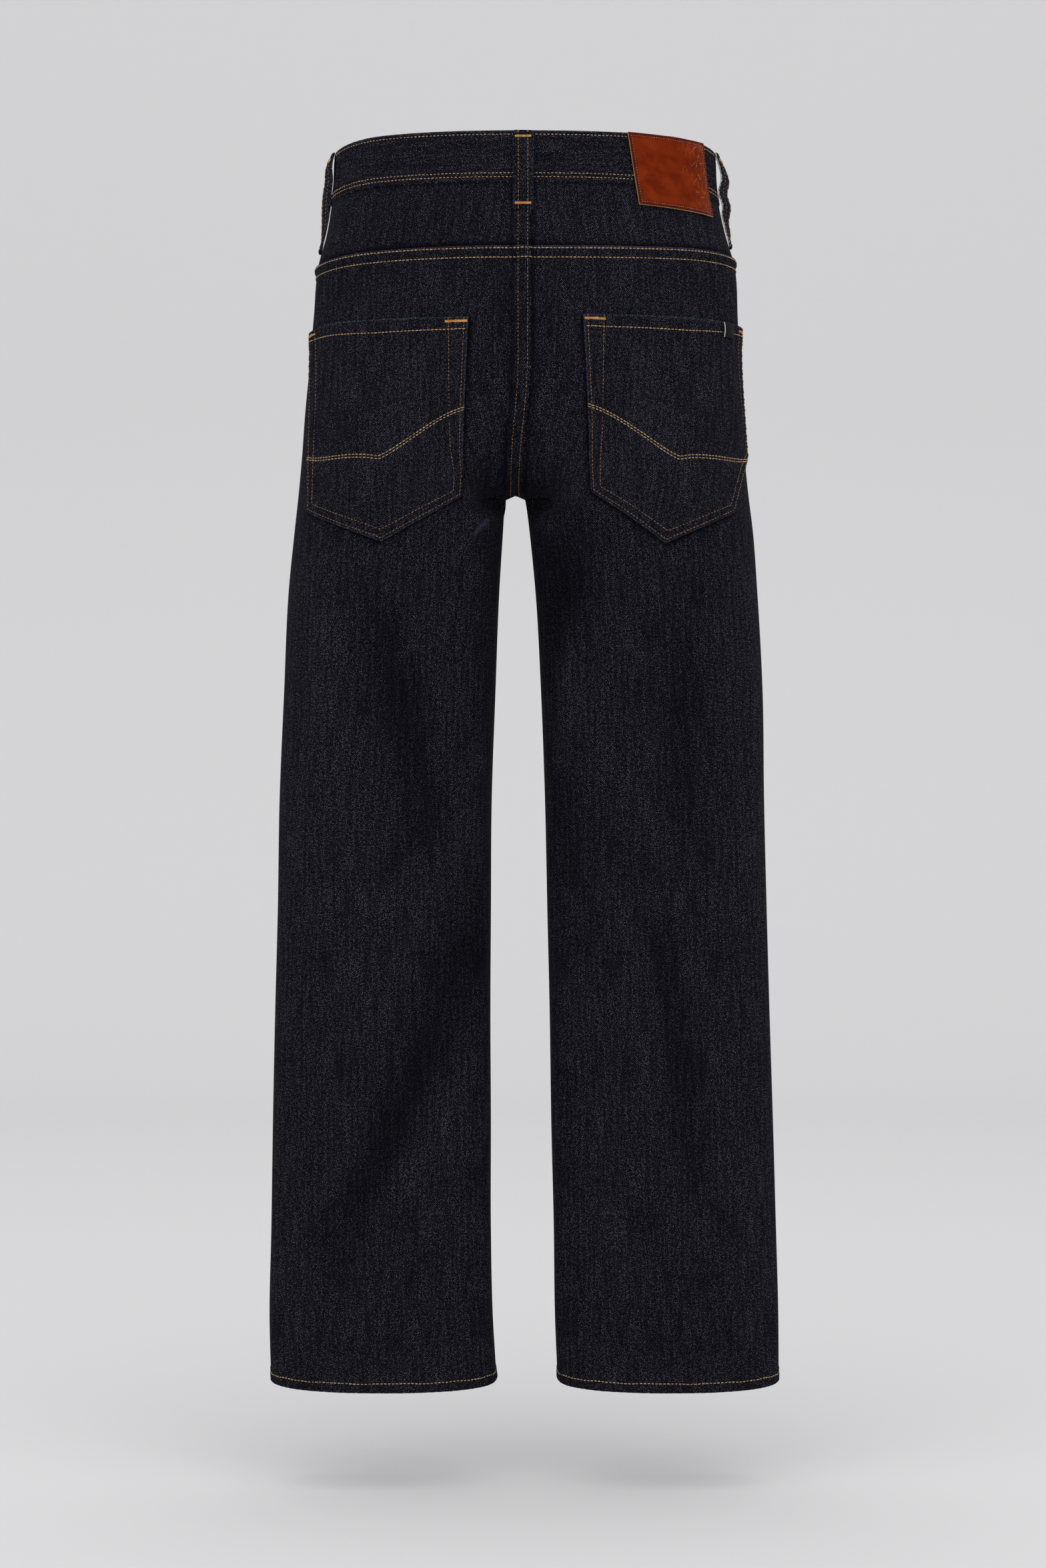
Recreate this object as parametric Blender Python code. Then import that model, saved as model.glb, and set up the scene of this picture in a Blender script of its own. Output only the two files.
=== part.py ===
"""Straight leg jeans, worn hollow: cloth walls, pockets, loops, patch and button.

Metres, +Z up. The back of the jeans faces +Y, the wearer's left is +X.
The origin is the centre of the waist ring, level with the band's top edge at the sides.
"""

import bpy
import numpy as np

# ---------------------------------------------------------------- driving dimensions
SEAM_GAP = 0.0003
CLOTH = 0.0012  # one layer of heavy denim
HEM_CLOTH = 0.0026  # denim folded twice at the hem
HEM_HEIGHT = 0.012
BAND_CLOTH = 0.0024
BAND_HEIGHT = 0.045
LOOP_CLOTH = 0.0022
LOOP_WIDTH = 0.0175
PATCH_CLOTH = 0.0015
TAB_CLOTH = 0.0010

WAIST_RISE_BACK = 0.0047  # the waist edge above the side's level
WAIST_DROP_FRONT = 0.024
SEAT_Z = -0.200  # where the seat seam starts to curve under
CROTCH_Z = -0.310
CROTCH_SIDE_Z = -0.335  # level at the outseam of the ring that meets the crotch
HEM_Z = -1.1155
CROTCH_X = 0.0070  # the crotch hangs a little to the wearer's left
SADDLE_ROUND = 0.0035
HEM_BACK_DROP = 0.0047
YOKE_DEPTH = 0.107  # from the waist edge to the yoke seam
YOKE_SIDE_DROP = {"left": 0.003, "right": -0.004}

FLY_DEPTH = 0.200
FLY_LAP = 0.006
FLY_RAMP = 0.23  # in u: the left front rises over the right across 30 mm
BAND_LAP = 0.040
BAND_LAP_RAMP = 0.31  # in u
POCKET_MOUTH_REACH = 0.365  # in u, from the outseam along the band: 95 mm
POCKET_MOUTH_DEPTH = 0.125  # down the outseam, from the waist edge
FACING_UNDERLAP = 0.054  # in u: 14 mm of facing behind the mouth's edge

SIDES = {"left": 1.0, "right": -1.0}
OFFSET_LIFT = CLOTH + SEAM_GAP
OVER_PANEL = 3 * SEAM_GAP  # a piece on a curved panel, its flat faces allowed for
OVER_POCKET = 4 * SEAM_GAP  # the same on the seat, which curves both ways
FACING_LIFT = CLOTH + 5 * SEAM_GAP

# Seat and waist rings: z, half width on each side, then y of back, side and front.
TORSO_COLUMNS = ("z", "left_out", "right_out", "y_back", "y_side", "y_front")
TORSO = (
    (0.010, 0.1715, 0.1755, 0.098, 0.000, -0.096),
    (-0.045, 0.1745, 0.1785, 0.102, 0.003, -0.100),
    (-0.075, 0.1792, 0.1848, 0.106, 0.007, -0.104),
    (-0.100, 0.1858, 0.1920, 0.109, 0.010, -0.107),
    (-0.149, 0.1902, 0.1952, 0.113, 0.014, -0.111),
    (-0.200, 0.1945, 0.1962, 0.114, 0.015, -0.112),
    (-0.246, 0.1990, 0.1992, 0.112, 0.013, -0.110),
    (-0.283, 0.2016, 0.2022, 0.109, 0.010, -0.107),
    (-0.344, 0.2082, 0.2096, 0.102, 0.004, -0.100),
)

# Leg rings: z, outer and inner x of each leg, then y of back, middle and front.
LEG_COLUMNS = ("z", "left_out", "left_in", "right_out", "right_in", "y_back", "y_side", "y_front")
LEG = (
    (-0.200, 0.1945, 0.0070, 0.1962, 0.0070, 0.114, 0.015, -0.112),
    (-0.283, 0.2016, 0.0130, 0.2022, 0.0010, 0.109, 0.010, -0.107),
    (-0.310, 0.2043, 0.0160, 0.2052, -0.0020, 0.106, 0.007, -0.104),
    (-0.344, 0.2082, 0.0183, 0.2096, -0.0061, 0.102, 0.004, -0.100),
    (-0.393, 0.2135, 0.0214, 0.2135, -0.0110, 0.094, 0.000, -0.095),
    (-0.490, 0.2184, 0.0252, 0.2190, -0.0165, 0.079, -0.003, -0.087),
    (-0.588, 0.2228, 0.0286, 0.2206, -0.0201, 0.067, -0.006, -0.079),
    (-0.686, 0.2245, 0.0293, 0.2231, -0.0222, 0.058, -0.007, -0.071),
    (-0.783, 0.2269, 0.0298, 0.2257, -0.0244, 0.052, -0.005, -0.063),
    (-0.881, 0.2287, 0.0293, 0.2286, -0.0258, 0.049, -0.002, -0.056),
    (-0.978, 0.2300, 0.0293, 0.2312, -0.0281, 0.048, 0.000, -0.050),
    (-1.060, 0.2316, 0.0275, 0.2333, -0.0292, 0.049, 0.001, -0.048),
    (-1.120, 0.2300, 0.0238, 0.2336, -0.0317, 0.050, 0.001, -0.047),
)
RING_POWER = 2.25  # 2 is an ellipse, more is squarer
CROTCH_SPREAD = 0.016  # the crotch ring opens away from the seam on both sides of it
CROTCH_SPREAD_AT = 0.10
CROTCH_EASE = 0.030

# Largest folds: face, start x and z, end x and z, half width, height (below 0 a trough).
FOLD_COLUMNS = ("face", "x0", "z0", "x1", "z1", "spread", "height")
FOLDS = (
    ("back", 0.035, -0.690, 0.168, -0.990, 0.024, -0.0050),
    ("back", 0.040, -0.840, 0.120, -0.960, 0.022, 0.0025),
    ("back", 0.132, -0.410, 0.085, -0.620, 0.022, -0.0035),
    ("back", 0.176, -0.380, 0.168, -0.700, 0.020, 0.0025),
    ("back", 0.018, -0.318, 0.062, -0.370, 0.014, 0.0030),
    ("back", 0.034, -0.560, 0.100, -0.690, 0.016, 0.0025),
    ("back", 0.066, -0.760, 0.150, -0.900, 0.016, 0.0015),
    ("back", -0.050, -0.345, -0.018, -0.470, 0.020, -0.0035),
    ("back", -0.036, -0.430, -0.044, -0.560, 0.013, 0.0022),
    ("back", -0.030, -0.590, -0.052, -0.740, 0.020, -0.0030),
    ("back", -0.184, -0.370, -0.196, -0.720, 0.018, -0.0020),
    ("back", -0.206, -0.380, -0.210, -0.690, 0.018, 0.0022),
    ("back", -0.118, -0.690, -0.158, -0.925, 0.016, -0.0045),
    ("back", -0.092, -0.700, -0.122, -0.900, 0.018, 0.0022),
    ("back", -0.125, -0.400, -0.150, -0.640, 0.022, -0.0022),
    ("front", 0.020, -0.300, 0.130, -0.250, 0.018, 0.0035),
    ("front", 0.030, -0.345, 0.150, -0.330, 0.018, -0.0030),
    ("front", -0.012, -0.300, -0.120, -0.242, 0.017, 0.0030),
    ("front", -0.030, -0.350, -0.150, -0.318, 0.018, -0.0030),
    ("front", 0.050, -0.620, 0.190, -0.665, 0.020, -0.0030),
    ("front", 0.060, -0.720, 0.170, -0.690, 0.018, 0.0028),
    ("front", -0.060, -0.640, -0.190, -0.680, 0.020, -0.0030),
    ("front", -0.050, -0.735, -0.150, -0.700, 0.018, 0.0028),
    ("front", 0.090, -0.800, 0.150, -1.010, 0.022, 0.0030),
    ("front", -0.100, -0.790, -0.160, -1.000, 0.022, 0.0028),
)

# Back pockets: half width of the inner edge at top and bottom, and the outer edge's gap to
# the outseam, which it keeps down to the turn, from where it runs in to its lower corner.
# Then the height of the mouth and how far its outer end droops, the heights of the lower
# corners and the tip, and the tip's share across.
POCKET_COLUMNS = (
    "side", "in_top", "in_low", "out_gap", "turn", "turn_x", "low_x",
    "mouth", "droop", "low_in", "low_out", "tip", "tip_at",
)
POCKETS = (
    ("left", 0.0485, 0.0560, 0.010, -0.165, 0.1900, 0.1910,
     -0.1625, 0.0040, -0.3175, -0.3293, -0.3578, 0.483),
    ("right", 0.0535, 0.0615, 0.007, -0.272, 0.2020, 0.1870,
     -0.1600, 0.0008, -0.3142, -0.3300, -0.3594, 0.527),
)
DROOP_FROM = 0.70  # share of the mouth that runs straight before its outer end droops

# Belt loops: side, face, share of the way from centre to outseam at the loop's top and
# foot, and profile. The two at the sides are sewn on with a slight twist.
LOOP_COLUMNS = ("node", "side", "face", "share_top", "share_low", "profile")
LOOPS = (
    ("belt_loop_back", "left", "back", 0.000, 0.000, "flat_back"),
    ("belt_loop_side_left", "left", "back", 0.940, 0.975, "slack_left"),
    ("belt_loop_side_right", "right", "back", 0.940, 0.975, "slack_right"),
    ("belt_loop_front_left", "left", "front", 0.530, 0.530, "flat_front"),
    ("belt_loop_front_right", "right", "front", 0.530, 0.530, "flat_front"),
)
LOOP_SEAT = 0.0009  # the sewn ends, clear of the curved band

# Depth below the waist edge and stand-off of each loop's inner face.
LOOP_PROFILES = {
    "flat_back": (
        (0.0004, LOOP_SEAT), (0.006, 0.0011), (0.012, 0.0026), (0.026, 0.0032),
        (0.045, 0.0030), (0.056, 0.0022), (0.064, 0.0010), (0.070, LOOP_SEAT),
    ),
    "flat_front": (
        (0.0004, LOOP_SEAT), (0.006, 0.0011), (0.013, 0.0028), (0.028, 0.0034),
        (0.048, 0.0032), (0.060, 0.0022), (0.068, 0.0010), (0.075, LOOP_SEAT),
    ),
    "slack_left": (
        (0.0004, LOOP_SEAT), (0.006, 0.0038), (0.014, 0.0058), (0.024, 0.0058),
        (0.037, 0.0068), (0.050, 0.0062), (0.063, 0.0044), (0.076, 0.0024),
        (0.083, 0.0010), (0.090, LOOP_SEAT),
    ),
    "slack_right": (
        (0.0004, LOOP_SEAT), (0.006, 0.0032), (0.014, 0.0066), (0.025, 0.0088),
        (0.035, 0.0062), (0.049, 0.0076), (0.062, 0.0034), (0.073, 0.0026),
        (0.079, 0.0012), (0.085, LOOP_SEAT),
    ),
}

PATCH_SIDE = "right"
PATCH_START = 0.0985  # from centre back, along the band
PATCH_WIDTH = 0.0800
PATCH_TOP = 0.0054
PATCH_SLANT = 0.0023
PATCH_HEIGHT = 0.0648
PATCH_GAIN = 0.0019  # the outer edge is this much longer
PATCH_LEAN = 0.0104
TAB_INNER_X = 0.1763  # half widths that the tab stands between, seen from behind
TAB_OUTER_X = 0.1857
TAB_HEIGHT = 0.0125

BUTTON_RADIUS = 0.0085
BUTTON_HEAD = 0.0030
BUTTON_SHANK_RADIUS = 0.0030

DENIM = (0.0085, 0.0105, 0.0185)
LEATHER = (0.262, 0.058, 0.010)
BLACK_TAB = (0.010, 0.010, 0.012)
COPPER = (0.42, 0.20, 0.11)

# ---------------------------------------------------------------- smooth tables


def column(columns, table, name):
    """One named column of a table, as an array."""
    place = columns.index(name)
    return np.array([row[place] for row in table])


def smooth(columns, table, name, z):
    """A column read at height z along a smooth curve through its rows."""
    levels = column(columns, table, "z")[::-1]
    values = column(columns, table, name)[::-1]
    slopes = np.gradient(values, levels)
    z = np.clip(z, levels[0], levels[-1])
    row = np.clip(np.searchsorted(levels, z) - 1, 0, len(levels) - 2)
    span = levels[row + 1] - levels[row]
    t = (z - levels[row]) / span
    rise = 3 * t**2 - 2 * t**3
    start = (t**3 - 2 * t**2 + t) * span * slopes[row]
    end = (t**3 - t**2) * span * slopes[row + 1]
    return values[row] * (1 - rise) + values[row + 1] * rise + start + end


def ease(t):
    """0 to 1 with level ends."""
    t = np.clip(t, 0.0, 1.0)
    return t * t * (3 - 2 * t)


def bent(cosine, power):
    """A cosine or sine with the roundness of a superellipse."""
    return np.sign(cosine) * np.abs(cosine) ** (2.0 / power)


# ---------------------------------------------------------------- the garment's surface
# Each half is a sheet in u and v. u runs from centre back or inseam (0) over the
# outseam (1) to centre front or inseam (2). v runs from the waist edge (0) to the
# seat (1), the crotch (2) and the hem (3).


def waist_level(u):
    """Height of the waist edge over the side's level."""
    back = WAIST_RISE_BACK * (1 - ease(2 * u - 1))
    front = WAIST_DROP_FRONT * ease(u - 1)
    return back - front


def heights(u, v):
    """Level of the surface at the seam side and at (u, v) itself."""
    upper = np.clip(v, 0, 1)
    middle = np.clip(v - 1, 0, 1)
    lower = np.clip(v - 2, 0, 1)
    outer = SEAT_Z * upper + (CROTCH_SIDE_Z - SEAT_Z) * middle + (HEM_Z - CROTCH_SIDE_Z) * lower
    curve = SEAT_Z * upper + (CROTCH_Z - SEAT_Z) * np.sin(middle * np.pi / 2)
    drop = (CROTCH_SIDE_Z - outer) * lower / np.maximum(lower, 1e-9)
    leg = outer + (CROTCH_Z - CROTCH_SIDE_Z) * np.exp(-drop / 0.08)
    seam = np.where(v <= 2, curve, leg)
    inner_share = ease(2 * np.minimum(u, 2 - u))
    z = seam + (outer - seam) * inner_share
    z = z + waist_level(u) * ease(1.28 - 1.28 * upper)
    back = np.abs(np.sin(np.clip(u, 0, 1) * np.pi)) ** 0.7 * ease(lower)
    return seam, z - HEM_BACK_DROP * back


def surface(side, u, v):
    """Points of one half of the garment, without folds."""
    sign = SIDES[side]
    u, v = np.broadcast_arrays(np.asarray(u, float), np.asarray(v, float))
    seam_z, z = heights(u, v)
    middle = np.clip(v - 1, 0, 1)
    inner_share = ease(2 * np.minimum(u, 2 - u))
    at_seam = 1 - np.cos(middle * np.pi / 2)
    pull = at_seam + (ease(middle) - at_seam) * inner_share
    back = u <= 1

    half_turn = (1 - u) * np.pi / 2
    wide = smooth(TORSO_COLUMNS, TORSO, side + "_out", z)
    level = smooth(TORSO_COLUMNS, TORSO, "y_side", z)
    y_back = smooth(TORSO_COLUMNS, TORSO, "y_back", z)
    y_front = smooth(TORSO_COLUMNS, TORSO, "y_front", z)
    depth = np.where(back, y_back - level, level - y_front)
    torso_x = wide * bent(np.cos(half_turn), RING_POWER) * sign
    torso_y = level + depth * bent(np.sin(half_turn), RING_POWER)

    turn = (1 - u) * np.pi
    drop = np.clip(CROTCH_Z - seam_z, 0, None)
    opened = np.sqrt(1 - (1 - np.clip(drop / SADDLE_ROUND, 0, 1)) ** 2)
    outer_x = smooth(LEG_COLUMNS, LEG, side + "_out", z) * sign
    inner_x = smooth(LEG_COLUMNS, LEG, side + "_in", np.minimum(z, CROTCH_Z))
    closed = (inner_x - CROTCH_X) * (1 - opened) * (1 - ease(4 * np.minimum(u, 2 - u)))
    level = smooth(LEG_COLUMNS, LEG, "y_side", z)
    y_back = smooth(LEG_COLUMNS, LEG, "y_back", z)
    y_front = smooth(LEG_COLUMNS, LEG, "y_front", z)
    depth = np.where(back, y_back - level, level - y_front)
    near = np.minimum(u, 2 - u) / CROTCH_SPREAD_AT
    spread = CROTCH_SPREAD * (1 - ease(drop / CROTCH_EASE)) * near * np.exp(0.5 - 0.5 * near**2)
    centre = (outer_x + inner_x) / 2
    half = (outer_x - inner_x) / 2
    leg_x = centre + half * bent(np.cos(turn), RING_POWER) + spread * sign - closed
    leg_y = level + depth * bent(np.sin(turn), RING_POWER)

    centre_drift = CROTCH_X * ease(-(seam_z + 0.20) / 0.11) * (1 - inner_share)
    torso_x = torso_x + np.where(v <= 2, centre_drift, 0)
    x = torso_x + (leg_x - torso_x) * pull
    y = torso_y + (leg_y - torso_y) * pull
    return np.stack([x, y, z], axis=-1)


# ---------------------------------------------------------------- fine grid and folds
GRID_U = np.linspace(0, 2, 129)
GRID_V = np.concatenate([
    np.linspace(0, 1, 41)[:-1],
    np.linspace(1, 2, 33)[:-1],
    np.linspace(0, 1, 121) ** 1.15 + 2,
])


def grid_normals(points):
    """Outward normals of a grid of points, from its cells."""
    along_u = np.gradient(points, axis=1)
    along_v = np.gradient(points, axis=0)
    normals = np.cross(along_u, along_v)
    length = np.linalg.norm(normals, axis=-1, keepdims=True)
    return normals / np.maximum(length, 1e-12)


def fold_offset(points, normals):
    """How far the folds move each point out along its normal."""
    facing = {"back": ease(normals[..., 1] * 1.6), "front": ease(-normals[..., 1] * 1.6)}
    total = np.zeros(points.shape[:-1])
    for row in FOLDS:
        fold = dict(zip(FOLD_COLUMNS, row))
        start = np.array([fold["x0"], fold["z0"]])
        run = np.array([fold["x1"], fold["z1"]]) - start
        away = points[..., [0, 2]] - start
        along = np.clip(away @ run / (run @ run), 0, 1)
        gap = np.linalg.norm(away - along[..., None] * run, axis=-1)
        profile = np.exp(-((gap / fold["spread"]) ** 2)) * (1 - 0.55 * np.abs(2 * along - 1) ** 2)
        total += fold["height"] * profile * facing[fold["face"]]
    return total


def build_half(side):
    """The fine grid of one half: points with folds, and shared outward normals."""
    points = surface(side, GRID_U[None, :], GRID_V[:, None])
    normals = grid_normals(points) * SIDES[side]
    points = points + normals * fold_offset(points, normals)[..., None]
    normals = grid_normals(points) * SIDES[side]
    above = GRID_V < 2
    crotch = np.searchsorted(GRID_V, 2.0)
    for edge in (0, -1):
        normals[above, edge, 0] = 0  # level across the centre seams
        leg_normal = normals[crotch + 1:, 0] + normals[crotch + 1:, -1]
        normals[crotch + 1:, edge] = leg_normal
        blend = slice(crotch - 1, crotch + 1)
        normals[blend, edge] = (0, 0, -1)
    length = np.linalg.norm(normals, axis=-1, keepdims=True)
    return points, normals / np.maximum(length, 1e-12)


HALVES = {side: build_half(side) for side in SIDES}


def at(side, u, v):
    """Point and normal of the folded surface at (u, v), between the grid's points."""
    u, v = np.broadcast_arrays(np.asarray(u, float), np.asarray(v, float))
    column_at = np.clip(np.searchsorted(GRID_U, u, side="right") - 1, 0, len(GRID_U) - 2)
    row_at = np.clip(np.searchsorted(GRID_V, v, side="right") - 1, 0, len(GRID_V) - 2)
    a = ((u - GRID_U[column_at]) / (GRID_U[column_at + 1] - GRID_U[column_at]))[..., None]
    b = ((v - GRID_V[row_at]) / (GRID_V[row_at + 1] - GRID_V[row_at]))[..., None]
    found = []
    for field in HALVES[side]:
        upper = field[row_at, column_at] * (1 - a) + field[row_at, column_at + 1] * a
        lower = field[row_at + 1, column_at] * (1 - a) + field[row_at + 1, column_at + 1] * a
        found.append(upper * (1 - b) + lower * b)
    length = np.linalg.norm(found[1], axis=-1, keepdims=True)
    return found[0], found[1] / np.maximum(length, 1e-12)


def row_of_depth(depth):
    """v of a line that runs a given depth below the waist edge."""
    return depth / -SEAT_Z


def section(side, face, z):
    """The level line of one face at height z, from the centre or inseam outwards."""
    points, normals = HALVES[side]
    middle = len(GRID_U) // 2
    columns = range(0, middle + 1) if face == "back" else range(len(GRID_U) - 1, middle - 1, -1)
    line = []
    for place in columns:
        level = points[:, place, 2]
        line.append([np.interp(-z, -level, points[:, place, axis]) for axis in (0, 1)] + [z])
    line = np.array(line)
    turned = []
    for place in columns:
        level = points[:, place, 2]
        turned.append([np.interp(-z, -level, normals[:, place, axis]) for axis in range(3)])
    turned = np.array(turned)
    steps = np.linalg.norm(np.diff(line, axis=0), axis=1)
    return line, turned, np.concatenate([[0], np.cumsum(steps)])


def on_section(side, face, z, distance):
    """Point and normal at a distance along the level line from the centre."""
    line, turned, arc = section(side, face, z)
    point = np.array([np.interp(distance, arc, line[:, axis]) for axis in range(3)])
    normal = np.array([np.interp(distance, arc, turned[:, axis]) for axis in range(3)])
    return point, normal / np.linalg.norm(normal)


# ---------------------------------------------------------------- walls


def wall_faces(rows, columns):
    """Faces of a closed wall between two grids of rows by columns points."""
    count = rows * columns
    faces = []
    for r in range(rows - 1):
        for c in range(columns - 1):
            a = r * columns + c
            faces.append((a, a + 1, a + columns + 1, a + columns))
            faces.append((a + count, a + count + columns, a + count + columns + 1, a + count + 1))
    rim = [r * columns for r in range(rows)]
    rim += [(rows - 1) * columns + c for c in range(1, columns)]
    rim += [r * columns + columns - 1 for r in range(rows - 2, -1, -1)]
    rim += [c for c in range(columns - 2, 0, -1)]
    for start, end in zip(rim, rim[1:] + rim[:1]):
        faces.append((start, end, end + count, start + count))
    return faces


def made_object(name, points, faces, material):
    """A closed mesh object in the garment's collection, faces pointing out."""
    mesh = bpy.data.meshes.new(name)
    mesh.from_pydata([tuple(p) for p in points], [], faces)
    corner = np.array(points)
    volume = 0.0
    for face in faces:
        for k in range(1, len(face) - 1):
            volume += np.dot(corner[face[0]], np.cross(corner[face[k]], corner[face[k + 1]]))
    if volume < 0:
        mesh.flip_normals()
    mesh.shade_smooth()
    mesh.set_sharp_from_angle(angle=np.radians(40))
    mesh.materials.append(material)
    thing = bpy.data.objects.new(name, mesh)
    GARMENT.objects.link(thing)
    return thing


def wall(name, outer, inner, material):
    """A cloth wall between an outer and an inner grid of points."""
    rows, columns = outer.shape[:2]
    points = np.concatenate([outer.reshape(-1, 3), inner.reshape(-1, 3)])
    return made_object(name, points, wall_faces(rows, columns), material)


def pulled_in(points, gap, edges):
    """Moves the named edges of a grid in along the cloth by half a seam gap."""
    moved = points.copy()
    ends = {"first_column": (0, 1), "last_column": (-1, -2)}
    for name, (edge, inside) in ends.items():
        if name in edges:
            way = points[:, inside] - points[:, edge]
            moved[:, edge] += way * (gap / np.linalg.norm(way, axis=1, keepdims=True))
    points = moved.copy()
    ends = {"first_row": (0, 1), "last_row": (-1, -2)}
    for name, (edge, inside) in ends.items():
        if name in edges:
            way = points[inside] - points[edge]
            moved[edge] += way * (gap / np.linalg.norm(way, axis=1, keepdims=True))
    return moved


def sheet_wall(side, u, v, thickness, lift=0.0):
    """Outer and inner grids of a wall on the surface at (u, v), clear of its neighbours."""
    points, normals = at(side, u, v)
    edges = ("first_column", "last_column", "first_row", "last_row")
    outer = pulled_in(points, SEAM_GAP / 2, edges)
    outer = outer + normals * np.asarray(lift)[..., None]
    inner = outer - normals * np.asarray(thickness)[..., None]
    return outer, inner


def clear_of_centre(side, points, above):
    """Keeps the rows above the crotch on their own side of the centre seam."""
    sign = SIDES[side]
    middle = CROTCH_X * ease(-(points[..., 2] + 0.20) / 0.11)
    own = (points[..., 0] - middle) * sign
    kept = middle + sign * np.maximum(own, SEAM_GAP / 2)
    points[..., 0] = np.where(above, kept, points[..., 0])
    return points


# ---------------------------------------------------------------- leg panels
PANEL_COLUMNS = 13
LEG_ROWS = 27
SEAT_ROWS = 6
TUCK_ROWS = 8


def hem_rows():
    """v of the leg rows, close together at the crotch and at the hem."""
    fine = np.array([0.0, 0.004, 0.012, 0.028])
    even = np.linspace(0.055, 1 - HEM_HEIGHT / (CROTCH_SIDE_Z - HEM_Z), LEG_ROWS)
    return 2 + np.concatenate([fine, even, [1.0]])


def yoke_row(side, u):
    """v of the yoke seam on one half."""
    return row_of_depth(YOKE_DEPTH + YOKE_SIDE_DROP[side] * ease(u))


def wall_thickness(v):
    """One layer, or the folded hem's three."""
    start = 3 - 1.4 * HEM_HEIGHT / (CROTCH_SIDE_Z - HEM_Z)
    return np.where(v > start, HEM_CLOTH, CLOTH)


def back_panel(side):
    """Back leg panel, from the yoke seam to the hem."""
    u = np.linspace(0, 1, PANEL_COLUMNS)[None, :]
    top = yoke_row(side, u)
    share = np.linspace(0, 1, SEAT_ROWS)[:, None]
    seat = top + (1 - top) * share
    tuck = np.linspace(1, 2, TUCK_ROWS + 1)[1:-1, None] + 0 * u
    leg = hem_rows()[:, None] + 0 * u
    v = np.concatenate([seat, tuck, leg])
    u = u + 0 * v
    outer, inner = sheet_wall(side, u, v, wall_thickness(v))
    above = v <= 2
    return clear_of_centre(side, outer, above), clear_of_centre(side, inner, above)


def yoke(side):
    """Back yoke half, between the band and the yoke seam."""
    u = np.linspace(0, 1, PANEL_COLUMNS)[None, :]
    top = row_of_depth(BAND_HEIGHT)
    share = np.linspace(0, 1, 4)[:, None]
    v = top + (yoke_row(side, u) - top) * share
    outer, inner = sheet_wall(side, u + 0 * v, v, CLOTH + 0 * v)
    return clear_of_centre(side, outer, v <= 2), clear_of_centre(side, inner, v <= 2)


def mouth_edge(v):
    """u of the front panel's outer edge: the scoop of the pocket mouth, then the outseam."""
    top = row_of_depth(BAND_HEIGHT)
    low = row_of_depth(POCKET_MOUTH_DEPTH)
    t = np.clip((v - top) / (low - top), 0, 1)
    return 1 + POCKET_MOUTH_REACH * (1 - t**2.2) ** (1 / 2.2)


def fly_lift(v):
    """1 beside the fly, 0 below it."""
    return ease((row_of_depth(FLY_DEPTH) + 0.12 - v) / 0.12)


def fly_reach(v):
    """How far the left edge laps over the right, down to the foot of the fly."""
    return FLY_LAP * ease((row_of_depth(FLY_DEPTH) - v) / 0.10)


def front_panel(side):
    """Front leg panel with its scoop; the left one laps over the right at the fly."""
    top = row_of_depth(BAND_HEIGHT)
    low = row_of_depth(POCKET_MOUTH_DEPTH)
    mouth = top + (low - top) * np.sin(np.linspace(0, 1, 9) * np.pi / 2)
    seat = np.linspace(low, 1, 4)[1:]
    tuck = np.linspace(1, 2, TUCK_ROWS + 1)[1:-1]
    v = np.concatenate([mouth, seat, tuck, hem_rows()])[:, None]
    share = np.linspace(0, 1, PANEL_COLUMNS)[None, :]
    edge = mouth_edge(v)
    u = edge + (2 - edge) * share
    v = v + 0 * u
    lap = np.zeros_like(v)
    if side == "left":
        beside = ease((u - 2 + FLY_RAMP) / FLY_RAMP)
        lap = OFFSET_LIFT * fly_lift(v) * beside
    outer, inner = sheet_wall(side, u, v, wall_thickness(v), lap)
    above = v <= 2
    outer = clear_of_centre(side, outer, above)
    inner = clear_of_centre(side, inner, above)
    if side == "left":
        for grid in (outer, inner):
            grid[:, -1, 0] -= fly_reach(v[:, -1])
    return outer, inner


def pocket_facing(side):
    """Denim facing behind the scoop, one layer further in."""
    top = row_of_depth(BAND_HEIGHT)
    low = row_of_depth(POCKET_MOUTH_DEPTH)
    v = np.linspace(top, low, 8)[:, None]
    share = np.linspace(0, 1, 8)[None, :]
    edge = mouth_edge(np.minimum(v, row_of_depth(POCKET_MOUTH_DEPTH)))
    u = 1 + (edge - 1 + FACING_UNDERLAP) * share
    v = v + 0 * u
    return sheet_wall(side, u, v, CLOTH + 0 * v, -FACING_LIFT + 0 * v)


# ---------------------------------------------------------------- waistband
BAND_COLUMNS = 36


def waistband():
    """One doubled strip round the waist; its left end laps over the right at the front."""
    lap = BAND_LAP_RAMP
    over = np.linspace(2 - lap * 0.15, 2 - lap, 4)
    u_left = np.concatenate([[2.0], over, np.linspace(2 - lap, 0, BAND_COLUMNS // 2)[1:-1]])
    u_right = np.linspace(0, 2, BAND_COLUMNS // 2)
    v = np.linspace(0, row_of_depth(BAND_HEIGHT), 4)[:, None]
    left, left_normal = at("left", u_left[None, :], v)
    right, right_normal = at("right", u_right[None, :], v)
    points = np.concatenate([left, right], axis=1)
    normals = np.concatenate([left_normal, right_normal], axis=1)
    raised = ease((u_left - 2 + lap) / lap)
    lift = np.concatenate([raised * (BAND_CLOTH + 2 * SEAM_GAP), 0 * u_right])
    points = points + normals * lift[None, :, None]
    points[:, 0, 0] -= BAND_LAP / 2
    outer = pulled_in(points, SEAM_GAP / 2, ("last_row", "last_column"))
    return outer, outer - normals * BAND_CLOTH


# ---------------------------------------------------------------- pieces that lie on panels


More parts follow.
